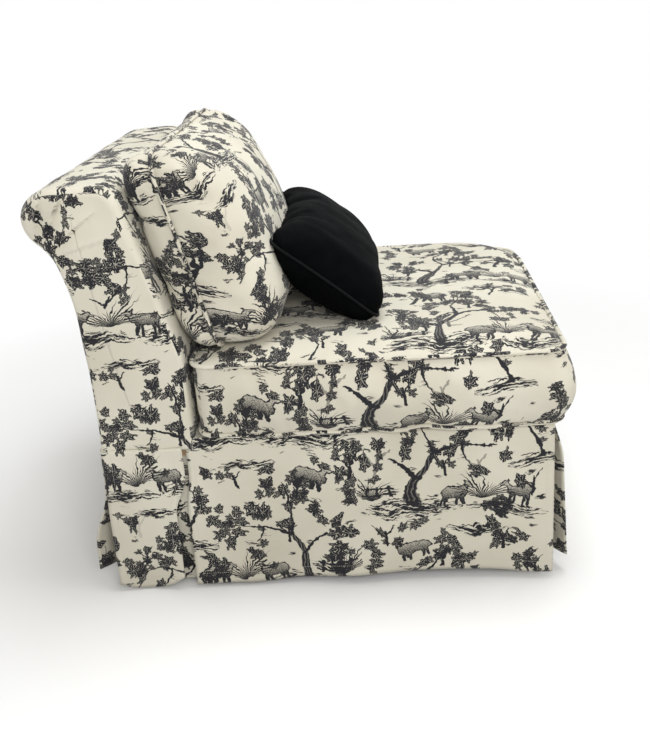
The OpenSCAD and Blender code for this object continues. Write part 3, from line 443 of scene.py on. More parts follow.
def coarse_weave(name, colour, pitch, depth):
    material, graph, place = new_material(name)
    threads = weave(graph, place, pitch)
    fuzz = graph.noise(place, 220.0, 3.0)
    shade = graph.blend(threads * 0.6 + fuzz * 0.4, dimmed(colour, 0.6), colour)
    return finish(material, graph, shade, 0.96 - 0.1 * fuzz, threads + 0.5 * fuzz, 0.5, depth)


def moulded(name, colour):
    material, graph, place = new_material(name)
    scuff = graph.noise(place, 180.0, 4.0)
    shade = graph.blend(scuff, dimmed(colour, 0.85), colour)
    return finish(material, graph, shade, 0.42 + 0.2 * scuff, scuff, 0.1, 0.0003)


# Cloth panels: grids of points with their place on the cloth, sewn where they meet
class Panel:
    def __init__(self, points, cloth):
        self.points = np.asarray(points, float)
        self.cloth = np.asarray(cloth, float)


def new_piece(name, mesh, body, slot):
    piece = bpy.data.objects.new(name, mesh)
    bpy.context.scene.collection.objects.link(piece)
    piece["ride_on"] = body
    piece["finish"] = slot
    return piece


def sew(name, panels, material, body, slot):
    """One mesh from panels, with a place on the cloth for each corner of each face"""
    faces, start = [], 0
    for panel in panels:
        rows, columns = panel.points.shape[:2]
        index = np.arange(rows * columns).reshape(rows, columns) + start
        quads = np.stack([index[:-1, :-1], index[1:, :-1], index[1:, 1:], index[:-1, 1:]], -1)
        faces += quads.reshape(-1, 4).tolist()
        start += rows * columns
    points = np.concatenate([panel.points.reshape(-1, 3) for panel in panels])
    cloth = np.concatenate([panel.cloth.reshape(-1, 2) for panel in panels])
    mesh = bpy.data.meshes.new(name)
    mesh.from_pydata(points.tolist(), [], faces)
    layer = mesh.uv_layers.new(name="Cloth")
    corners = np.empty(len(mesh.loops), int)
    mesh.loops.foreach_get("vertex_index", corners)
    layer.data.foreach_set("uv", cloth[corners].astype(np.float32).ravel())
    work = bmesh.new()
    work.from_mesh(mesh)
    bmesh.ops.remove_doubles(work, verts=work.verts, dist=MERGE)
    bmesh.ops.recalc_face_normals(work, faces=work.faces)
    work.to_mesh(mesh)
    work.free()
    mesh.polygons.foreach_set("use_smooth", [True] * len(mesh.polygons))
    mesh.materials.append(material)
    return new_piece(name, mesh, body, slot)


def coordinates(piece, kind="co"):
    """The place of each vertex, or its normal"""
    found = np.empty(len(piece.data.vertices) * 3)
    piece.data.vertices.foreach_get(kind, found)
    return found.reshape(-1, 3)


def set_coordinates(piece, points):
    piece.data.vertices.foreach_set("co", np.asarray(points, float).ravel())
    piece.data.update()


def finish_modifier(piece, kind, **settings):
    """Adds a modifier, applies it and leaves a plain mesh"""
    modifier = piece.modifiers.new(kind, kind)
    for name, value in settings.items():
        setattr(modifier, name, value)
    apply_modifiers(piece)


def apply_modifiers(piece):
    depsgraph = bpy.context.evaluated_depsgraph_get()
    old = piece.data
    piece.data = bpy.data.meshes.new_from_object(piece.evaluated_get(depsgraph))
    piece.data.name = piece.name
    piece.modifiers.clear()
    bpy.data.meshes.remove(old)


def settle(piece, *solids):
    """Gives a finished piece its body, and hides the solids that it stands for"""
    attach(piece, piece["ride_on"])
    if solids:
        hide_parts(*solids)


def rumple(points, scale, seed):
    """A smooth random number between -1 and 1 for each point"""
    return np.array([noise.noise(Vector(p) * scale + Vector((seed, seed * 1.7, -seed))) for p in points])


def smooth_step(values, low, high):
    share = np.clip((np.asarray(values, float) - low) / (high - low), 0, 1)
    return share * share * (3 - 2 * share)


def lengths(path):
    """How far along the path each of its points lies"""
    return np.concatenate([[0], np.cumsum(np.linalg.norm(np.diff(path, axis=0), axis=1))])


def unit(vectors):
    return vectors / np.linalg.norm(vectors, axis=-1)[..., None]


def mapped(across, up):
    """Places on the cloth from two grids that may be of one line only"""
    return np.stack(np.broadcast_arrays(across, up), -1)


def rounded_grid(a, b, r, rows, columns, low_r=None, dense=0.0):
    """A grid over a rounded rectangle, whose corners it follows; those at the foot may differ.
    With dense above 0 its lines lie closer to one another near the edge."""
    u, v = [half * t * (1 + dense * (1 - t * t)) for half, t in
            ((a, np.linspace(-1, 1, rows)), (b, np.linspace(-1, 1, columns)))]
    u = u[:, None] + np.zeros(columns)
    v = v[None, :] + np.zeros((rows, 1))
    r = np.where(v < 0, low_r or r, r)
    du = np.clip((np.abs(u) - (a - r)) / r, 0, 1)
    dv = np.clip((np.abs(v) - (b - r)) / r, 0, 1)
    corner = (du > 0) & (dv > 0)
    x = np.where(corner, np.sign(u) * (a - r + r * du * np.sqrt(1 - dv ** 2 / 2)), u)
    y = np.where(corner, np.sign(v) * (b - r + r * dv * np.sqrt(1 - du ** 2 / 2)), v)
    return x, y, np.abs(u) / a, np.abs(v) / b


def rim_of(grid):
    """The edge of a grid of points, once round and without a repeat"""
    return np.concatenate([grid[:-1, 0], grid[-1, :-1], grid[:0:-1, -1], grid[0, :0:-1]])


def find_points(piece, wanted):
    """The number of the vertex at each wanted place"""
    places = {tuple(np.round(p, 5)): i for i, p in enumerate(coordinates(piece))}
    return [places[tuple(np.round(p, 5))] for p in wanted]


def tube(path, radius, cloth_at, sides=10):
    """A round cord along a closed path, as one panel"""
    tangent = unit(np.roll(path, -1, 0) - np.roll(path, 1, 0))
    side = np.cross(tangent, (0, 0, 1.0))
    flat = np.linalg.norm(side, axis=1) < 0.05
    side[flat] = np.cross(tangent[flat], (0, 1.0, 0))
    side = unit(side)
    up = np.cross(side, tangent)
    angle = np.linspace(0, math.tau, sides + 1)
    ring = side[:, None] * np.cos(angle)[None, :, None] + up[:, None] * np.sin(angle)[None, :, None]
    points = path[:, None] + ring * radius
    run = lengths(np.concatenate([path, path[:1]]))
    return Panel(np.concatenate([points, points[:1]]),
                 mapped(run[:, None] + cloth_at[0], angle[None] * radius + cloth_at[1]))


def smooth_path(path, times):
    for _ in range(times):
        path = 0.25 * np.roll(path, 1, 0) + 0.5 * path + 0.25 * np.roll(path, -1, 0)
    return path


def puff(piece, pressure, steps, pinned, slack, cap, bending=0.5):
    """Blows a cloth shell up with a cloth simulation and keeps the result"""
    scene = bpy.context.scene
    rest = coordinates(piece)
    modifier = piece.modifiers.new("Cloth", "CLOTH")
    cloth = modifier.settings
    cloth.quality = 6
    cloth.mass = 0.3
    cloth.tension_stiffness = cloth.compression_stiffness = 20
    cloth.shear_stiffness = 6
    cloth.bending_stiffness = bending
    cloth.tension_damping = cloth.compression_damping = cloth.shear_damping = 8
    cloth.air_damping = 2
    cloth.use_pressure = True
    cloth.uniform_pressure_force = pressure
    cloth.shrink_min = -slack
    cloth.effector_weights.gravity = 0
    modifier.collision_settings.use_collision = False
    modifier.point_cache.frame_end = steps
    group = piece.vertex_groups.new(name="pins")
    group.add([int(i) for i in pinned], 1.0, "REPLACE")
    cloth.vertex_group_mass = "pins"
    for step in range(1, steps + 1):
        scene.frame_set(step)
    evaluated = piece.evaluated_get(bpy.context.evaluated_depsgraph_get())
    moved = np.empty(len(rest) * 3)
    evaluated.data.vertices.foreach_get("co", moved)
    move = moved.reshape(-1, 3) - rest
    length = np.linalg.norm(move, axis=1)[:, None]
    move *= np.minimum(1, cap / np.maximum(length, 1e-9))
    piece.modifiers.clear()
    piece.vertex_groups.clear()
    set_coordinates(piece, rest + move)
    scene.frame_set(1)


# Stitches, zip coils and staples: short threads repeated along lines by Geometry Nodes
def thread_tree():
    tree = bpy.data.node_groups.new("threads", "GeometryNodeTree")
    for label, kind in (("Lines", "Geometry"), ("Pitch", "Float"), ("Stitch length", "Float"),
                        ("Thread width", "Float"), ("Seed", "Int"), ("Finish", "Material")):
        tree.interface.new_socket(label, in_out="INPUT", socket_type="NodeSocket" + kind)
    tree.interface.new_socket("Threads", in_out="OUTPUT", socket_type="NodeSocketGeometry")
    graph = Graph(tree)
    lines, pitch, length, width, seed, material = graph.outputs(graph.node("NodeGroupInput"))[:6]
    curve = graph.node("GeometryNodeMeshToCurve", None, {"Mesh": lines})
    dots = graph.node("GeometryNodeResampleCurve", {"mode": "LENGTH"}, {"Curve": curve, "Length": pitch})
    turn = graph.node("FunctionNodeAlignRotationToVector", {"axis": "X"},
                      {"Vector": graph.node("GeometryNodeInputTangent")})
    uneven = graph.node("FunctionNodeRandomValue", {"data_type": "FLOAT"}, {2: 0.86, 3: 1.06, 8: seed}, 1)
    size = graph.node("ShaderNodeCombineXYZ", None, {0: length * uneven, 1: width, 2: width})
    stitch = graph.node("GeometryNodeMeshUVSphere", None, {"Segments": 6, "Rings": 4, "Radius": 0.5})
    copies = graph.node("GeometryNodeInstanceOnPoints", None,
                        {"Points": dots, "Instance": stitch, "Rotation": turn, "Scale": size})
    real = graph.node("GeometryNodeRealizeInstances", None, {"Geometry": copies})
    painted = graph.node("GeometryNodeSetMaterial", None, {"Geometry": real, "Material": material})
    out = tree.nodes.new("NodeGroupOutput")
    tree.links.new(painted.socket, out.inputs[0])
    return tree


def threads(name, lines, sizes, material, body, slot, seed):
    """A row of stitches along each line; sizes are pitch, stitch length and thread width"""
    points, edges = [], []
    for line in lines:
        first = len(points)
        points += [tuple(point) for point in line]
        edges += [(number, number + 1) for number in range(first, len(points) - 1)]
    mesh = bpy.data.meshes.new(name)
    mesh.from_pydata(points, edges, [])
    piece = new_piece(name, mesh, body, slot)
    tree = bpy.data.node_groups.get("threads") or thread_tree()
    modifier = piece.modifiers.new("Threads", "NODES")
    modifier.node_group = tree
    values = dict(zip(("Pitch", "Stitch length", "Thread width"), sizes), Seed=seed, Finish=material)
    for item in tree.interface.items_tree:
        if item.name in values:
            modifier[item.identifier] = values[item.name]
    apply_modifiers(piece)
    settle(piece)


# Scroll back: one padded cover over the frame, with soft edges and tucked roll ends
def arc(centre, radius, start, end, count, high=None):
    angles = np.radians(np.linspace(start, end, count))
    return np.stack([centre[0] + radius * np.cos(angles), centre[1] + (high or radius) * np.sin(angles)], 1)


def even(path, spacing):
    """The same path with points at an even spacing"""
    run = lengths(path)
    wanted = np.linspace(0, run[-1], max(2, int(round(run[-1] / spacing)) + 1))
    return np.stack([np.interp(wanted, run, path[:, k]) for k in range(path.shape[1])], 1)


def back_profile():
    """The outline of the back from the front of the deck, over the roll, to the rear seam"""
    heights = np.linspace(HOLLOW_TOP, SEAM_Z, 30)
    hollow = WAIST_X - HOLLOW_R + np.sqrt(HOLLOW_R ** 2 - np.maximum(0, heights - HOLLOW_Z) ** 2)
    kick = np.maximum(0, HOLLOW_Z - heights) / (HOLLOW_Z - FOOT_Z) * (FOOT_X - WAIST_X)
    full = 0.0065 * smooth_step(heights, 0.43, 0.57) + 0.002
    path = even(np.concatenate([
        [[KNEE[0], SEAM_Z], KNEE],
        arc(HEAD_CENTRE, HEAD_R, math.degrees(LEAN), 90, 12),
        arc(ROLL_CENTRE, ROLL_WIDE, 90, 180, 18, ROLL_TOP),
        arc(ROLL_CENTRE, ROLL_WIDE, 185, 240, 12, ROLL_LOW),
        np.stack([hollow + kick - full, heights], 1)]), COVER_MESH)
    for _ in range(6):
        path[1:-1] = 0.25 * path[:-2] + 0.5 * path[1:-1] + 0.25 * path[2:]
    return path


# Tucks at the end of the roll: where each starts and ends, and how high it stands
TUCKS = [((-0.437, 0.802), (-0.448, 0.730), 0.0062), ((-0.392, 0.812), (-0.438, 0.732), 0.0072),
         ((-0.350, 0.770), (-0.430, 0.712), 0.0064), ((-0.358, 0.664), (-0.424, 0.688), -0.0044),
         ((-0.330, 0.725), (-0.420, 0.702), 0.0034)]
TUCK_SPREAD, TUCK_SLOPE, TUCK_STEP = 0.008, 0.013, 0.0035


def tuck_height(x, z):
    """How far the side of the roll stands out where its cloth is folded into tucks"""
    height = np.zeros_like(x)
    for start, end, rise in TUCKS:
        along = np.subtract(end, start)
        length = np.linalg.norm(along)
        share = np.clip(((x - start[0]) * along[0] + (z - start[1]) * along[1]) / length ** 2, 0, 1)
        side = ((x - start[0]) * along[1] - (z - start[1]) * along[0]) / length
        beyond = np.hypot(x - start[0] - share * along[0], z - start[1] - share * along[1])
        near = np.exp(-(np.maximum(0, beyond - np.abs(side)) / TUCK_SPREAD) ** 2)
        fold = np.where(side > 0, np.exp(-side / TUCK_SLOPE), -0.45 * np.exp(side / TUCK_STEP))
        height += 1.5 * rise * near * fold * np.sin(math.pi * np.clip(share * 0.9 + 0.08, 0, 1)) ** 0.6
    return height


def back_cover(material):
    path = back_profile()
    tangent = unit(np.gradient(path, axis=0))
    outward = np.stack([tangent[:, 1], -tangent[:, 0]], 1)
    run = lengths(path)
    roll_seam = (ROLL_CENTRE[0] - 0.3 * ROLL_WIDE, ROLL_CENTRE[1] - ROLL_LOW)
    seam_row = int(np.argmin(np.hypot(path[:, 0] - roll_seam[0], path[:, 1] - roll_seam[1])))
    edge = 0.011 + 0.006 * smooth_step(path[:, 1], 0.68, 0.74)

    def line(flat, y):
        return np.stack([flat[:, 0], np.zeros(len(path)) + y, flat[:, 1]], 1)

    def ring(angle, side):
        flat = path - outward * (edge * (1 - math.cos(angle)))[:, None]
        return line(flat, side * (SIDE_Y - edge * (1 - math.sin(angle))))

    strips = 72
    middle = [line(path, (SIDE_Y - edge) * share) for share in np.linspace(-1, 1, strips)]
    angles = np.linspace(0, math.pi / 2, 7)[1:]
    split, fill_rings = 4, 27
    near = [ring(a, -1) for a in angles]
    far = [ring(a, 1) for a in angles]
    sweep = np.stack([*near[:split][::-1], *middle, *far[:split]], 1)
    front, rear = sweep[:seam_row + 1], sweep[seam_row:]
    panels = [Panel(front, mapped(front[:, :, 1] + 0.11, run[:seam_row + 1, None] + 0.16)),
              Panel(rear, mapped(-rear[:, :, 1] + 0.05, (run[-1] - run[seam_row:, None]) + 0.04))]
    spine_low, spine_high = np.array([-0.318, SEAM_Z]), np.array([-0.385, 0.765])
    share = np.clip((path[:, 1] - spine_low[1]) / (spine_high[1] - spine_low[1]), 0, 1)[:, None]
    spine = spine_low + share * (spine_high - spine_low)
    spine[:, 0] -= 0.007 * np.sin(math.pi * share[:, 0])
    for side, rings in ((-1, near), (1, far)):
        rim = rings[-1][:, [0, 2]]
        inward = np.linspace(0, 1, fill_rings)[1:] ** 1.1
        fill = [line(rim + (spine - rim) * step, side * SIDE_Y) for step in inward]
        face = np.stack([*rings[split - 1:], *fill], 1)
        panels.append(Panel(face, mapped(-side * face[:, :, 0] + (0.62 if side > 0 else 0.46),
                                         face[:, :, 2] + 0.10)))
    piece = sew("scroll_back_cover", panels, material, "chair", "printed_cotton")
    points = coordinates(piece)
    border, swell_from, swelling = 0.024, 0.10, 0.0025
    side = np.clip((np.abs(points[:, 1]) - (SIDE_Y - border)) / border, 0, 1)
    swell = np.clip((points[:, 2] - SEAM_Z) / swell_from, 0, 1) * swelling
    folds = tuck_height(points[:, 0], points[:, 2])
    points[:, 1] += np.sign(points[:, 1]) * side * (folds + swell)
    set_coordinates(piece, points)
    soft = 0.0016 * rumple(points, 9, 3.1) + 0.0010 * rumple(points * (1, 1, 0.5), 26, 8.3)
    low = np.clip(1 - (points[:, 2] - SEAM_Z) / 0.12, 0, 1)
    soft = soft + low * 0.0012 * np.sin(points[:, 1] * 90 + points[:, 0] * 60)
    set_coordinates(piece, points + coordinates(piece, "normal") * (soft - 0.0008)[:, None])
    finish_modifier(piece, "SOLIDIFY", thickness=COVER_T, offset=-1.0)
    settle(piece, "inside_back_cover", "outside_back_cover", "back_facing_left", "back_facing_right",
           "side_padding", "roll_padding", "back_padding")


# Seat cushion: a boxed cushion with a crowned top and a welt round its top and its bottom.
# Where its lower welt is pushed up on the near side: place, height and width
RIPPLES = [(0.112, 0.0090, 0.024), (0.207, 0.0062, 0.026)]


def seat_ripple(x, y):
    """How far the lower welt of the seat cushion rises and falls along its way"""
    near = np.clip((-y - 0.30) / 0.05, 0, 1)
    wave = sum(height * np.exp(-((x - place) / width) ** 2) for place, height, width in RIPPLES)
    drift = 0.0016 * np.sin(x * 31 + 1.1) + 0.0014 * np.sin(y * 27 + x * 11)
    return near * wave + drift + 0.0008


def seat_cushion(material):
    """The cover and its welts; also returns the lines along which its corner is stitched"""
    rows, columns, rings = 76, 78, 15
    x, y, u, v = rounded_grid(SEAT_A, SEAT_B, SEAT_CORNER, rows, columns)
    dome = np.sqrt((1 - u ** 3.2) * (1 - v ** 3.2))
    tired = SEAT_SLUMP * smooth_step(x / SEAT_A, 0.5, 1) * smooth_step(y / SEAT_B, 0.5, 1)
    top = np.stack([x + SEAT_X, y, SEAT_TOP + 0.55 * SEAT_CROWN * dome - tired], -1)
    low = np.stack([x + SEAT_X, y, SEAT_LOW + seat_ripple(x + SEAT_X, y) * (1 - dome) - 0.0028 * dome], -1)
    top_rim, low_rim = rim_of(top), rim_of(low)
    centre = np.array([SEAT_X, 0])
    wall = []
    for share in np.arange(rings) / (rings - 1):
        ring = top_rim * (1 - share) + low_rim * share
        outside = ring[:, :2] - centre
        outside /= np.abs(outside).max(axis=1)[:, None]
        full = SEAT_BULGE * math.sin(math.pi * share ** 1.12) * smooth_step(ring[:, 0], -0.20, -0.05)
        ring[:, :2] += outside * full[:, None]
        wall.append(ring)
    wall = np.stack(wall, 1)
    wall = np.concatenate([wall, wall[:1]])
    panels = [Panel(top, top[:, :, :2] + (0.21, 0.16)),
              Panel(wall, mapped(lengths(wall[:, 0])[:, None] + 0.135, wall[:, :, 2] + 0.155)),
              Panel(low, mapped(low[:, :, 0] + 0.30, -low[:, :, 1]))]
    piece = sew("seat_cushion_cover", panels, material, "seat_cushion", "printed_cotton")
    top_seam, low_seam, corner_seam = [
        find_points(piece, line) for line in (top_rim, low_rim, wall[rows - 1])]
    puff(piece, 3.2, 20, [*top_seam, *low_seam], 0.015, 0.014)
    points = coordinates(piece)
    high = points[:, 2] - SEAT_TOP
    lift = 0.0014 * rumple(points, 13, 5.7) + 0.0008 * rumple(points, 30, 2.2)
    points[:, 2] += np.where(high > 0.001, lift * np.clip(high / 0.008, 0, 1), 0)
    high = points[:, 2] - SEAT_TOP
    crown = SEAT_CROWN + 0.003
    capped = SEAT_TOP + crown * np.tanh(high / crown * 0.96) / math.tanh(1.35)
    points[:, 2] = np.maximum(np.where(high > 0, capped, points[:, 2]), SEAT_FLOOR)
    points[:, 0] = np.maximum(points[:, 0], SEAT_X - SEAT_A)
    set_coordinates(piece, points)
    seams = [points[top_seam], points[low_seam]]
    sunk, proud, apart = 0.0022, 0.0018, 0.0025
    outside = coordinates(piece, "normal")[corner_seam][1:-1]
    points[corner_seam[1:-1]] -= outside * sunk
    set_coordinates(piece, points)
    corner_line = points[corner_seam][1:-1] + outside * proud
    finish_modifier(piece, "SUBSURF", levels=1, render_levels=1)
    settle(piece, "seat_foam", "seat_cushion_top", "seat_cushion_bottom", "seat_boxing")
    welts = []
    for number, seam in enumerate(seams):
        path = smooth_path(seam, 2)
        path[:, :2] += unit(path[:, :2] - centre) * WELT_R * 0.35
        path[:, 2] = np.maximum(path[:, 2], SEAT_FLOOR + WELT_R)
        welts.append(tube(path, WELT_R, (0.21 * number, 0.37)))
    settle(sew("seat_cushion_welts", welts, material, "seat_cushion", "printed_cotton"), "seat_welts")
    return piece, [corner_line + (apart, 0, 0), corner_line - (apart, 0, 0)]


# Knife-edge cushions: two overfilled panels sewn round their edge and blown up
def stuffed_panel(x, y, u, v, half, reach, form):
    """One panel of a knife-edge cushion: its points, and its place on the cloth. u and v say how far
    out a point lies, from 0 in the middle to 1 at the seam; reach is how high the panel stands."""
    depth, brim = form["depth"] * reach, form["brim"]
    head = np.where(y > 0, form.get("head", brim), brim)
    near_u = np.clip(1 - (1 - u) * half[0] / brim, 0, 1)
    near_v = np.clip(1 - (1 - v) * half[1] / head, 0, 1)
    near = np.minimum(1, (near_u ** 4 + near_v ** 4) ** 0.25)
    angle = (1 - near) * math.pi / 2
    rise = depth * np.sin(angle) ** 0.9 + (reach - depth) * (1 - u ** 2) * (1 - v ** 2)
    rise *= 1 - form["sag"] * np.sign(y) * v * (1 - near)
    rise *= 1 - form["thin_end"] * smooth_step(x / half[0], -0.1, 1)
    wide = np.where(near_v > near_u, head, brim)
    spread = (1 - near) * wide - wide * (1 - np.cos(angle)) + form["overhang"] * np.sin(2 * angle)
    way = np.stack([np.sign(x) * near_u ** 3, np.sign(y) * near_v ** 3], -1)
    way /= np.maximum(np.linalg.norm(way, axis=-1), 1e-6)[..., None]
    length = math.pi / 2 * math.sqrt((brim ** 2 + depth ** 2) / 2)
    run = np.arctan2(y / half[1], x / half[0])
    gather = form["gather"] * np.sin(run * form["folds"] + 2.5 * np.sin(run * 5)) * near ** 2 * np.sin(angle)
    flat = np.stack([x, y], -1)
    points = np.concatenate([flat + way * spread[..., None], (rise + gather)[..., None]], -1)
    return points, flat + way * ((length - brim) * near)[..., None]


def knife_edge(name, half, corners, form, place, material, body, slot, offset):
    """A cushion whose seam lies in the plane of `place`, puffed and kept to its thickness"""
    rows, columns = int(2 * half[0] / form["mesh"]) | 1, int(2 * half[1] / form["mesh"]) | 1
    x, y, u, v = rounded_grid(*half, corners[0], rows, columns, corners[1], 0.4)
    panels = []
    for sign, reach, shape in zip((1, -1), form["reach"], (form, {**form, **form["rear"]})):
        points, cloth = stuffed_panel(x, y, u, v, half, reach, shape)
        points[..., 2] *= sign
        points[..., 0] -= np.sign(x) * form["pull"] * (1 - v ** 2) * u ** 2
        points[..., 1] -= np.sign(y) * form["pull"] * (1 - u ** 2) * v ** 2
        sunk = form["lower"] + form["droop"] * u ** 2.5
        points[..., 1] -= sunk * smooth_step(y, -0.6 * half[1], half[1])
        slump = np.where(x < 0, form["slump"][0], form["slump"][1])
        slump = slump * smooth_step(np.abs(x) / half[0], 0.2, 1) * smooth_step(y / half[1], -0.2, 1)
        points[..., 0] -= 0.45 * slump * np.sign(x)
        points[..., 1] -= slump
        panels.append(Panel(points, cloth * (sign, 1) + (offset[:2] if sign > 0 else offset[2:])))
    piece = sew(name, panels, material, body, slot)
    seam = find_points(piece, rim_of(panels[0].points))
    points = coordinates(piece)
    points[:, 2] += form["noise"] * rumple(points, 16, form["seed"]) * (np.abs(points[:, 2]) > 1e-6)
    set_coordinates(piece, points)
    puff(piece, form["pressure"], form["steps"], seam, form["slack"], form["cap"], form["bending"])
    points = coordinates(piece)
    points[:, 2] = np.clip(points[:, 2], -form["rear_limit"], None)
    if "crease" in form:
        depth, across, along = form["crease"]
        fold = rumple(points * (across, along, along), 1.0, form["seed"] + 2)
        crease = depth * np.exp(-(fold / 0.22) ** 2) * (np.abs(points[:, 2]) > 1e-6)
        points[:, 2] -= np.sign(points[:, 2]) * crease
    if "zip" in form:
        zip_half, depth, low, high = form["zip"]
        rise, aside = points[:, 1] + half[1], np.abs(points[:, 0]) - zip_half
        hollow = depth + 0.54 * (rise - low) + 1.3 * np.maximum(0, rise - high) + np.maximum(0, aside)
        points[:, 2] = np.maximum(points[:, 2], -hollow)
    seam_path = smooth_path(points[seam], 1)
    set_coordinates(piece, place(points))
    finish_modifier(piece, "SUBSURF", levels=1, render_levels=1)
    return piece, seam_path


def keep_clear(piece, other, axis, outside, gap):
    """Moves what would sink into another piece along an axis until it lies against it, a gap away;
    a small share of its depth is kept, so that its folds don't become quite flat"""
    tree = BVHTree.FromObject(other, bpy.context.evaluated_depsgraph_get())
    way = Vector([-1.0 if number == axis else 0.0 for number in range(3)])
    points = coordinates(piece)
    for number, point in enumerate(points):
        start = Vector(point)
        start[axis] = outside
        hit = tree.ray_cast(start, way)[0]
        if hit and point[axis] < hit[axis] + gap:
            points[number, axis] = hit[axis] + gap + SQUASHED * (point[axis] - hit[axis] - gap)
    set_coordinates(piece, points)


def piping(name, path, radius, place, material, body, slot, cloth_at, solid):
    """A covered cord along the seam of a knife-edge cushion"""
    spread = path.copy()
    spread[:, :2] *= 1 + radius / np.linalg.norm(spread[:, :2], axis=1)[:, None]
    settle(sew(name, [tube(place(spread), radius, cloth_at)], material, body, slot), solid)


def back_place(points):
    rise = points[:, 1] + BACK_HIGH / 2
    return np.stack([BACK_FOOT[0] - rise * math.sin(LEAN) + points[:, 2], points[:, 0],
                     BACK_FOOT[1] + rise * math.cos(LEAN)], 1)


# Form of the back cushion. Its zip has a half length, a depth behind the seam and the heights of its
# two edges, and the rear panel is kept in front of it, so that it shows
BACK_FORM = {
    "mesh": 0.0095, "reach": (0.146, 0.062), "rear_limit": 0.063, "depth": 0.80, "brim": 0.085,
    "head": 0.205, "thin_end": 0.26, "slump": (0.0, 0.0), "overhang": 0.011, "sag": 0.09,
    "gather": 0.0016, "folds": 46, "pull": 0.006, "lower": 0.040, "droop": 0.003, "noise": 0.003,
    "seed": 4.4, "zip": (0.194, 0.0358, 0.0244, 0.0495), "pressure": 3.0, "steps": 16, "slack": 0.03,
    "cap": 0.010, "bending": 0.3,
    "rear": {"brim": 0.045, "head": 0.060, "thin_end": 0.0, "depth": 0.92, "sag": 0.0}}


def back_cushion(material, below):
    half = (BACK_W / 2, BACK_HIGH / 2)
    piece, path = knife_edge("back_cushion_cover", half, BACK_CORNERS, BACK_FORM, back_place, material,
                             "back_cushion", "printed_cotton", (0.42, 0.18, 0.56, 0.19))
    keep_clear(piece, below, 2, 2.0, LYING_GAP)
    settle(piece, "back_cushion_fill", "back_cushion_front_panel", "back_cushion_rear_panel")
    piping("back_cushion_piping", path, BACK_WELT_R, back_place, material, "back_cushion",
           "printed_cotton", (0.1, 0.2), "back_cushion_welt")
    return piece


def pillow_place(points):
    along, aside = math.sin(PILLOW_TURN), math.cos(PILLOW_TURN)
    long = np.array([along, aside, 0])
    flat = np.array([aside, -along, 0])
    down = flat * math.cos(PILLOW_SLOPE) + np.array([0, 0, -math.sin(PILLOW_SLOPE)])
    up = flat * math.sin(PILLOW_SLOPE) + np.array([0, 0, math.cos(PILLOW_SLOPE)])
    return np.array(PILLOW_CENTRE) - points[:, :1] * long + points[:, 1:2] * down + points[:, 2:] * up


# Form of the throw pillow. Its creases have a depth, and how close they lie across it and along it
PILLOW_FORM = {
    "mesh": 0.0075, "reach": (0.070, 0.066), "rear_limit": 0.068, "depth": 0.62, "brim": 0.064,
    "thin_end": 0.0, "slump": (0.034, 0.005), "overhang": 0.003, "sag": 0.0, "gather": 0.0022,
    "folds": 38, "pull": 0.012, "lower": 0.0, "droop": 0.0, "noise": 0.004, "seed": 9.1,
    "pressure": 3.0, "steps": 16, "slack": 0.03, "cap": 0.010, "bending": 0.2,
    "crease": (0.0020, 24.0, 9.0), "rear": {}}


def throw_pillow(material, cord_material, below, behind):
    half = (PILLOW_L / 2, PILLOW_W / 2)
    piece, path = knife_edge("throw_pillow_cover", half, PILLOW_CORNERS, PILLOW_FORM, pillow_place, material,
                             "throw_pillow", "black_cotton", (0, 0, 0, 0))
    keep_clear(piece, below, 2, 2.0, LYING_GAP)
    keep_clear(piece, behind, 0, 1.0, LEANING_GAP)
    settle(piece, "pillow_fill", "pillow_front_panel", "pillow_rear_panel")
    piping("throw_pillow_cord", path, PIPING_R, pillow_place, cord_material, "throw_pillow",
           "black_cotton", (0, 0), "pillow_piping")


# Skirt: lined panels that hang from the seat and the back and open at their pleats
SKIRT_MESH, CURL_WIDTH, HEM_ROWS, STITCH_PROUD = (0.007, 0.008), 0.028, 4, 0.0003


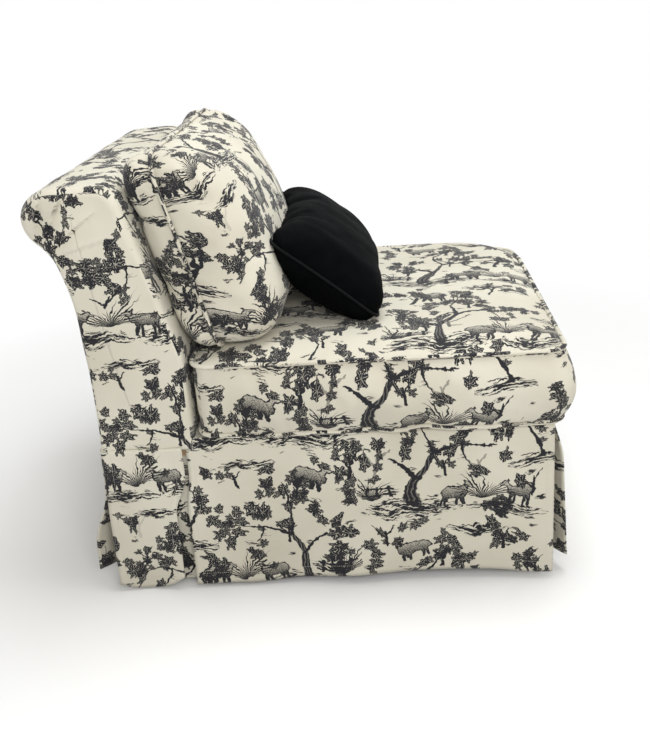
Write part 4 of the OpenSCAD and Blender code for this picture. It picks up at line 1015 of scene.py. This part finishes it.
def skirt_panel(name, solid, start, end, hang, hem, material, cloth_at, seed,
                curl=((0, 0.03), (0, 0.03)), edges=((0, 0), (0, 0))):
    """A hanging panel between two places on the floor plan, with its outer side to the right of the way.
    hang has the height of its top, its flare and its waves; hem has heights along the panel; curl has
    how far each end swings out and from where down; edges has how far each end reaches beyond its
    place at the top and at the foot. Returns the line along which the hem is stitched."""
    start, end = np.array(start, float), np.array(end, float)
    top_z, flare, waves = hang
    length = np.linalg.norm(end - start)
    along = (end - start) / length
    out = np.array([along[1], -along[0]])
    drop = top_z - min(hem)
    columns, rows = int(length / SKIRT_MESH[0]) + 2, int(drop / SKIRT_MESH[1]) + 2
    # s runs along the panel, t from its top to its foot
    s = np.linspace(0, 1, columns)[:, None]
    t = np.linspace(0, 1, rows)[None, :]
    (start_top, start_low), (end_top, end_low) = edges
    fold = smooth_step(t, 0.22, 0.5)
    start_at = -(start_top + (start_low - start_top) * fold)
    end_at = length + end_top + (end_low - end_top) * fold
    run = start_at + s * (end_at - start_at)
    swing = flare * t ** 1.15
    for width, height, phase in waves:
        swing = swing + height * t ** 1.4 * np.sin(run / width * math.tau + phase + t * 0.5)
    for (reach, begin), away in zip(curl, (s, 1 - s)):
        flap = reach * np.exp(-(away * length / CURL_WIDTH) ** 1.3)
        swing = swing + flap * smooth_step(t, begin, begin + 0.45)
    low = np.interp(s, np.linspace(0, 1, len(hem)), hem)
    z = top_z - t * (top_z - low)
    plan = start + along * run[..., None] + out * swing[..., None]
    points = np.concatenate([plan, z[..., None]], -1)
    spots = points.reshape(-1, 3)
    small = 0.0022 * rumple(spots, 14, seed) + 0.0050 * rumple(spots * (1, 1, 0.6), 6.5, seed + 4)
    small = small.reshape(columns, rows) * np.sqrt(t) * np.minimum(1, 6 * np.minimum(s, 1 - s) + 0.25)
    points[..., :2] += out * small[..., None]
    piece = sew(name, [Panel(points, mapped(run + cloth_at[0], z + cloth_at[1]))], material, "chair",
                "printed_cotton")
    outside = np.array([*out, 0])
    if (coordinates(piece, "normal") @ outside).mean() < 0:
        piece.data.flip_normals()
    finish_modifier(piece, "SOLIDIFY", thickness=SKIRT_T, offset=-1.0)
    settle(piece, solid)
    wide = end_at - start_at
    float(wide.mean() * (top_z - low).mean())
    proud = points + outside * STITCH_PROUD
    hem_row = rows - HEM_ROWS
    return np.concatenate([proud[2, 1:hem_row], proud[2:-2, hem_row], proud[-3, hem_row:1:-1]])


def skirts(material):
    """The six panels of the skirt; returns the lines along which their hems are stitched"""
    out, back_out = SKIRT_Y + SKIRT_T, SIDE_Y + 0.0003 + SKIRT_T
    front, rear = SKIRT_FRONT_X + SKIRT_T, REAR_X - SKIRT_T
    front_y, rear_y = SKIRT_Y - 0.010, SIDE_Y - 0.004
    seat_start, seat_end = PLEAT_X + PLEAT_W / 2, SKIRT_FRONT_X + 0.009
    back_start, back_end = FOOT_X + 0.002, PLEAT_X - PLEAT_W / 2
    # The waves have their width, height and phase
    waves = [(0.31, 0.0030, 0.6), (0.17, 0.0016, 2.0)]
    seat_hang, rear_hang = (DECK_Z, 0.012, waves), (SEAM_Z + 0.006, 0.012, waves)
    back_hang = (SEAM_Z + 0.006, 0.011, [(0.13, 0.0030, 1.2)])
    # How high the hems hang above the floor, along each panel
    side_hem = [0.010, 0.009, 0.016, 0.022, 0.023, 0.021, 0.014]
    front_hem = [0.034, 0.014, 0.012, 0.011, 0.013, 0.012, 0.030]
    back_hem = [0.017, 0.006, 0.004, 0.005, 0.013, 0.030]
    rear_hem = [0.040, 0.014, 0.011, 0.012, 0.013, 0.012, 0.042]
    plain, pleat, corner, back_pleat = (0, 0), (-0.006, 0.004), (0.001, 0.004), (0.035, 0.009)
    hem_lines = []
    for name, solid, start, end, hang, hem, cloth_at, seed, ends in (
            ("skirt_near_side", "skirt_seat_right", (seat_start, -out), (seat_end, -out), seat_hang,
             side_hem, (0.02, 0.32), 1.3, {"edges": (pleat, plain)}),
            ("skirt_far_side", "skirt_seat_left", (seat_end, out), (seat_start, out), seat_hang,
             side_hem[::-1], (0.30, 0.10), 2.6, {"edges": (plain, pleat)}),
            ("skirt_front_side", "skirt_front", (front, -front_y), (front, front_y), seat_hang,
             front_hem, (0.55, 0.20), 3.9, {"curl": ((0.024, -0.15), (0.020, -0.1))}),
            ("skirt_near_back", "skirt_back_right", (back_start, -back_out), (back_end, -back_out), back_hang,
             back_hem, (back_start + 0.46, 0.10), 5.2, {"edges": (corner, back_pleat)}),
            ("skirt_far_back", "skirt_back_left", (back_end, back_out), (back_start, back_out), back_hang,
             back_hem[::-1], (0.40, 0.26), 6.5, {"edges": (back_pleat, corner)}),
            ("skirt_rear_side", "skirt_rear", (rear, rear_y), (rear, -rear_y), rear_hang,
             rear_hem, (0.20, 0.31), 7.8, {"curl": ((0.024, 0.32), (0.029, 0.34))})):
        hem_lines.append(skirt_panel(name, solid, start, end, hang, hem, material, cloth_at, seed, **ends))
    return hem_lines


# Stage and light
FADE_START, FADE_WIDTH, FLOOR_REACH = 0.75, 0.9, 12
FLOOR_BOUNCE, FLOOR_SEEN, WORLD = 0.50, 0.93, 0.44
WARM, COOL, WHITE = (1.0, 0.985, 0.96), (0.96, 0.985, 1.0), (1.0, 0.99, 0.97)
LAMPS = (("key_light", (0.7, -2.8, 1.9), (0.05, 0, 0.4), 1.4, 40, WARM),
         ("top_light", (0.5, 0.1, 3.2), (0.1, 0, 0.4), 1.6, 58, COOL),
         ("front_light", (2.6, -0.9, 1.8), (0, 0, 0.5), 1.4, 7, WARM),
         ("side_light", (-2.8, -1.2, 1.8), (0, 0, 0.4), 1.6, 5, WHITE))


def stage_and_light():
    scene = bpy.context.scene
    scene.view_settings.view_transform = "Standard"
    mesh = bpy.data.meshes.new("floor")
    corners = [(x * FLOOR_REACH, y * FLOOR_REACH, 0) for x, y in ((-1, -1), (1, -1), (1, 1), (-1, 1))]
    mesh.from_pydata(corners, [], [(0, 1, 2, 3)])
    floor = bpy.data.objects.new("floor", mesh)
    scene.collection.objects.link(floor)
    material, graph, place = new_material("pale_floor")
    nodes, links = material.node_tree.nodes, material.node_tree.links
    shader = nodes["Principled BSDF"]
    camera_ray = graph.node("ShaderNodeLightPath")
    colour = graph.blend(camera_ray, [FLOOR_BOUNCE] * 3, [FLOOR_SEEN] * 3)
    links.new(colour.socket, shader.inputs["Base Color"])
    shader.inputs["Roughness"].default_value = 0.9
    glow = graph.node("ShaderNodeEmission", None, {"Strength": 1.0})
    away = graph.length(place)
    fade = graph.math("MULTIPLY_ADD", away, 1 / FADE_WIDTH, -FADE_START / FADE_WIDTH, clamp=True)
    mixed = graph.node("ShaderNodeMixShader", None, {0: fade, 1: Wire(graph, shader.outputs[0]), 2: glow})
    links.new(mixed.socket, nodes["Material Output"].inputs["Surface"])
    mesh.materials.append(material)
    world = bpy.data.worlds.new("studio")
    scene.world = world
    world.use_nodes = True
    graph = Graph(world.node_tree)
    rays = graph.node("ShaderNodeLightPath").socket.node.outputs
    seen = graph.most(Wire(graph, rays["Is Camera Ray"]), Wire(graph, rays["Is Glossy Ray"]))
    background = world.node_tree.nodes["Background"]
    for name, value in (("Strength", WORLD + (1 - WORLD) * seen),
                        ("Color", graph.blend(seen, (1.0, 0.98, 0.945), (1, 1, 1)))):
        world.node_tree.links.new(value.socket, background.inputs[name])
    for name, place, target, size, power, shade in LAMPS:
        data = bpy.data.lights.new(name, "AREA")
        data.size, data.energy, data.color = size, power, shade
        lamp = bpy.data.objects.new(name, data)
        lamp.location = place
        lamp.rotation_euler = (Vector(target) - Vector(place)).to_track_quat("-Z", "Y").to_euler()
        scene.collection.objects.link(lamp)


# Finishes of the solids that stay
def finish_solids(printed, black):
    finishes = {
        "beech": wood("beech_finish", (0.66, 0.47, 0.29), (0.50, 0.33, 0.18), 26.0),
        "plywood": wood("plywood_finish", (0.62, 0.45, 0.27), (0.44, 0.29, 0.16), 60.0),
        "fibreboard": stuffing("fibreboard_finish", (0.30, 0.21, 0.13), 700.0, 0.0004, 0.85),
        "zinc_steel": metal("zinc_finish", (0.66, 0.66, 0.64), 0.28, 260.0),
        "spring_steel": metal("spring_finish", (0.22, 0.23, 0.24), 0.34, 180.0),
        "nylon": moulded("nylon_finish", (0.80, 0.79, 0.74)),
        "foam": stuffing("foam_finish", (0.84, 0.76, 0.50), 420.0, 0.0008),
        "batting": stuffing("batting_finish", (0.86, 0.86, 0.84), 160.0, 0.002),
        "felt": stuffing("felt_finish", (0.42, 0.37, 0.31), 300.0, 0.001),
        "jute": coarse_weave("jute_finish", (0.50, 0.37, 0.20), 0.004, 0.001),
        "cambric": coarse_weave("cambric_finish", (0.02, 0.02, 0.022), 0.0018, 0.0003),
        "zip_tape": coarse_weave("zip_tape_finish", (0.62, 0.57, 0.47), 0.0016, 0.0004),
        "black_cotton": black,
        "printed_cotton": printed,
        "thread": coarse_weave("thread_finish", (0.74, 0.70, 0.60), 0.0012, 0.0002),
        "deck_cover": coarse_weave("decking_finish", (0.70, 0.665, 0.56), 0.0016, 0.0004),
    }
    for part in frame["record"]["subparts"]:
        materials = frame["nodes"][part["node"]].data.materials
        materials.clear()
        materials.append(finishes.get(part["node"], finishes[part["material_slot"]]))
    return finishes


def zip_details(thread, nylon):
    """Stitches along both edges of the seat zip's tape, and the coil that closes it"""
    low, high = [np.array(corner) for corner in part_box("seat_zip")]
    face, edge, centre, tooth = low[0] - 0.0001, 0.003, (low[2] + high[2]) / 2, 0.0009
    rows = np.linspace(low[1] + 0.004, high[1] - 0.004, 40)
    seams, coil = [[[(face, y, z) for y in rows] for z in heights] for heights in
                   ((low[2] + edge, high[2] - edge), (centre - tooth, centre + tooth))]
    threads("seat_zip_stitches", seams, (0.0040, 0.0030, 0.0006), thread, "seat_cushion", "zip_tape", 7)
    threads("seat_zip_coil", coil, (0.0022, 0.0016, 0.0018), nylon, "seat_cushion", "nylon", 8)


def dust_cover_staples(zinc):
    """Staples round the edge of the dust cover, under the frame"""
    low, high = [np.array(corner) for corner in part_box("dust_cover")]
    inset = 0.008
    low[:2] += inset
    high[:2] -= inset
    corners = [(low[0], low[1]), (high[0], low[1]), (high[0], high[1]), (low[0], high[1]), (low[0], low[1])]
    line = even(np.array([(*corner, low[2] - 0.0002) for corner in corners]), 0.02)
    threads("dust_cover_staples", [line], (0.038, 0.0105, 0.0011), zinc, "chair", "zinc_steel", 9)


place_camera()
stage_and_light()
country = print_group()
printed = printed_cotton("printed_cotton", country)
black = black_cotton("black_cotton", 0.022, 0.56)
finishes = finish_solids(printed_cotton("printed_underlay", country, solid=True), black)
back_cover(printed)
seat, corner_lines = seat_cushion(printed)
cushion = back_cushion(printed, seat)
throw_pillow(black, black_cotton("black_cord", 0.09, 0.46), seat, cushion)
hem_lines = skirts(printed)
thread = finishes["thread"]
threads("skirt_hem_stitches", hem_lines, (0.0042, 0.0032, 0.0006), thread, "chair", "printed_cotton", 3)
threads("seat_corner_stitches", corner_lines, (0.0040, 0.0030, 0.0007), thread, "seat_cushion",
        "printed_cotton", 5)
zip_details(thread, finishes["nylon"])
dust_cover_staples(finishes["zinc_steel"])

bpy.context.view_layer.update()
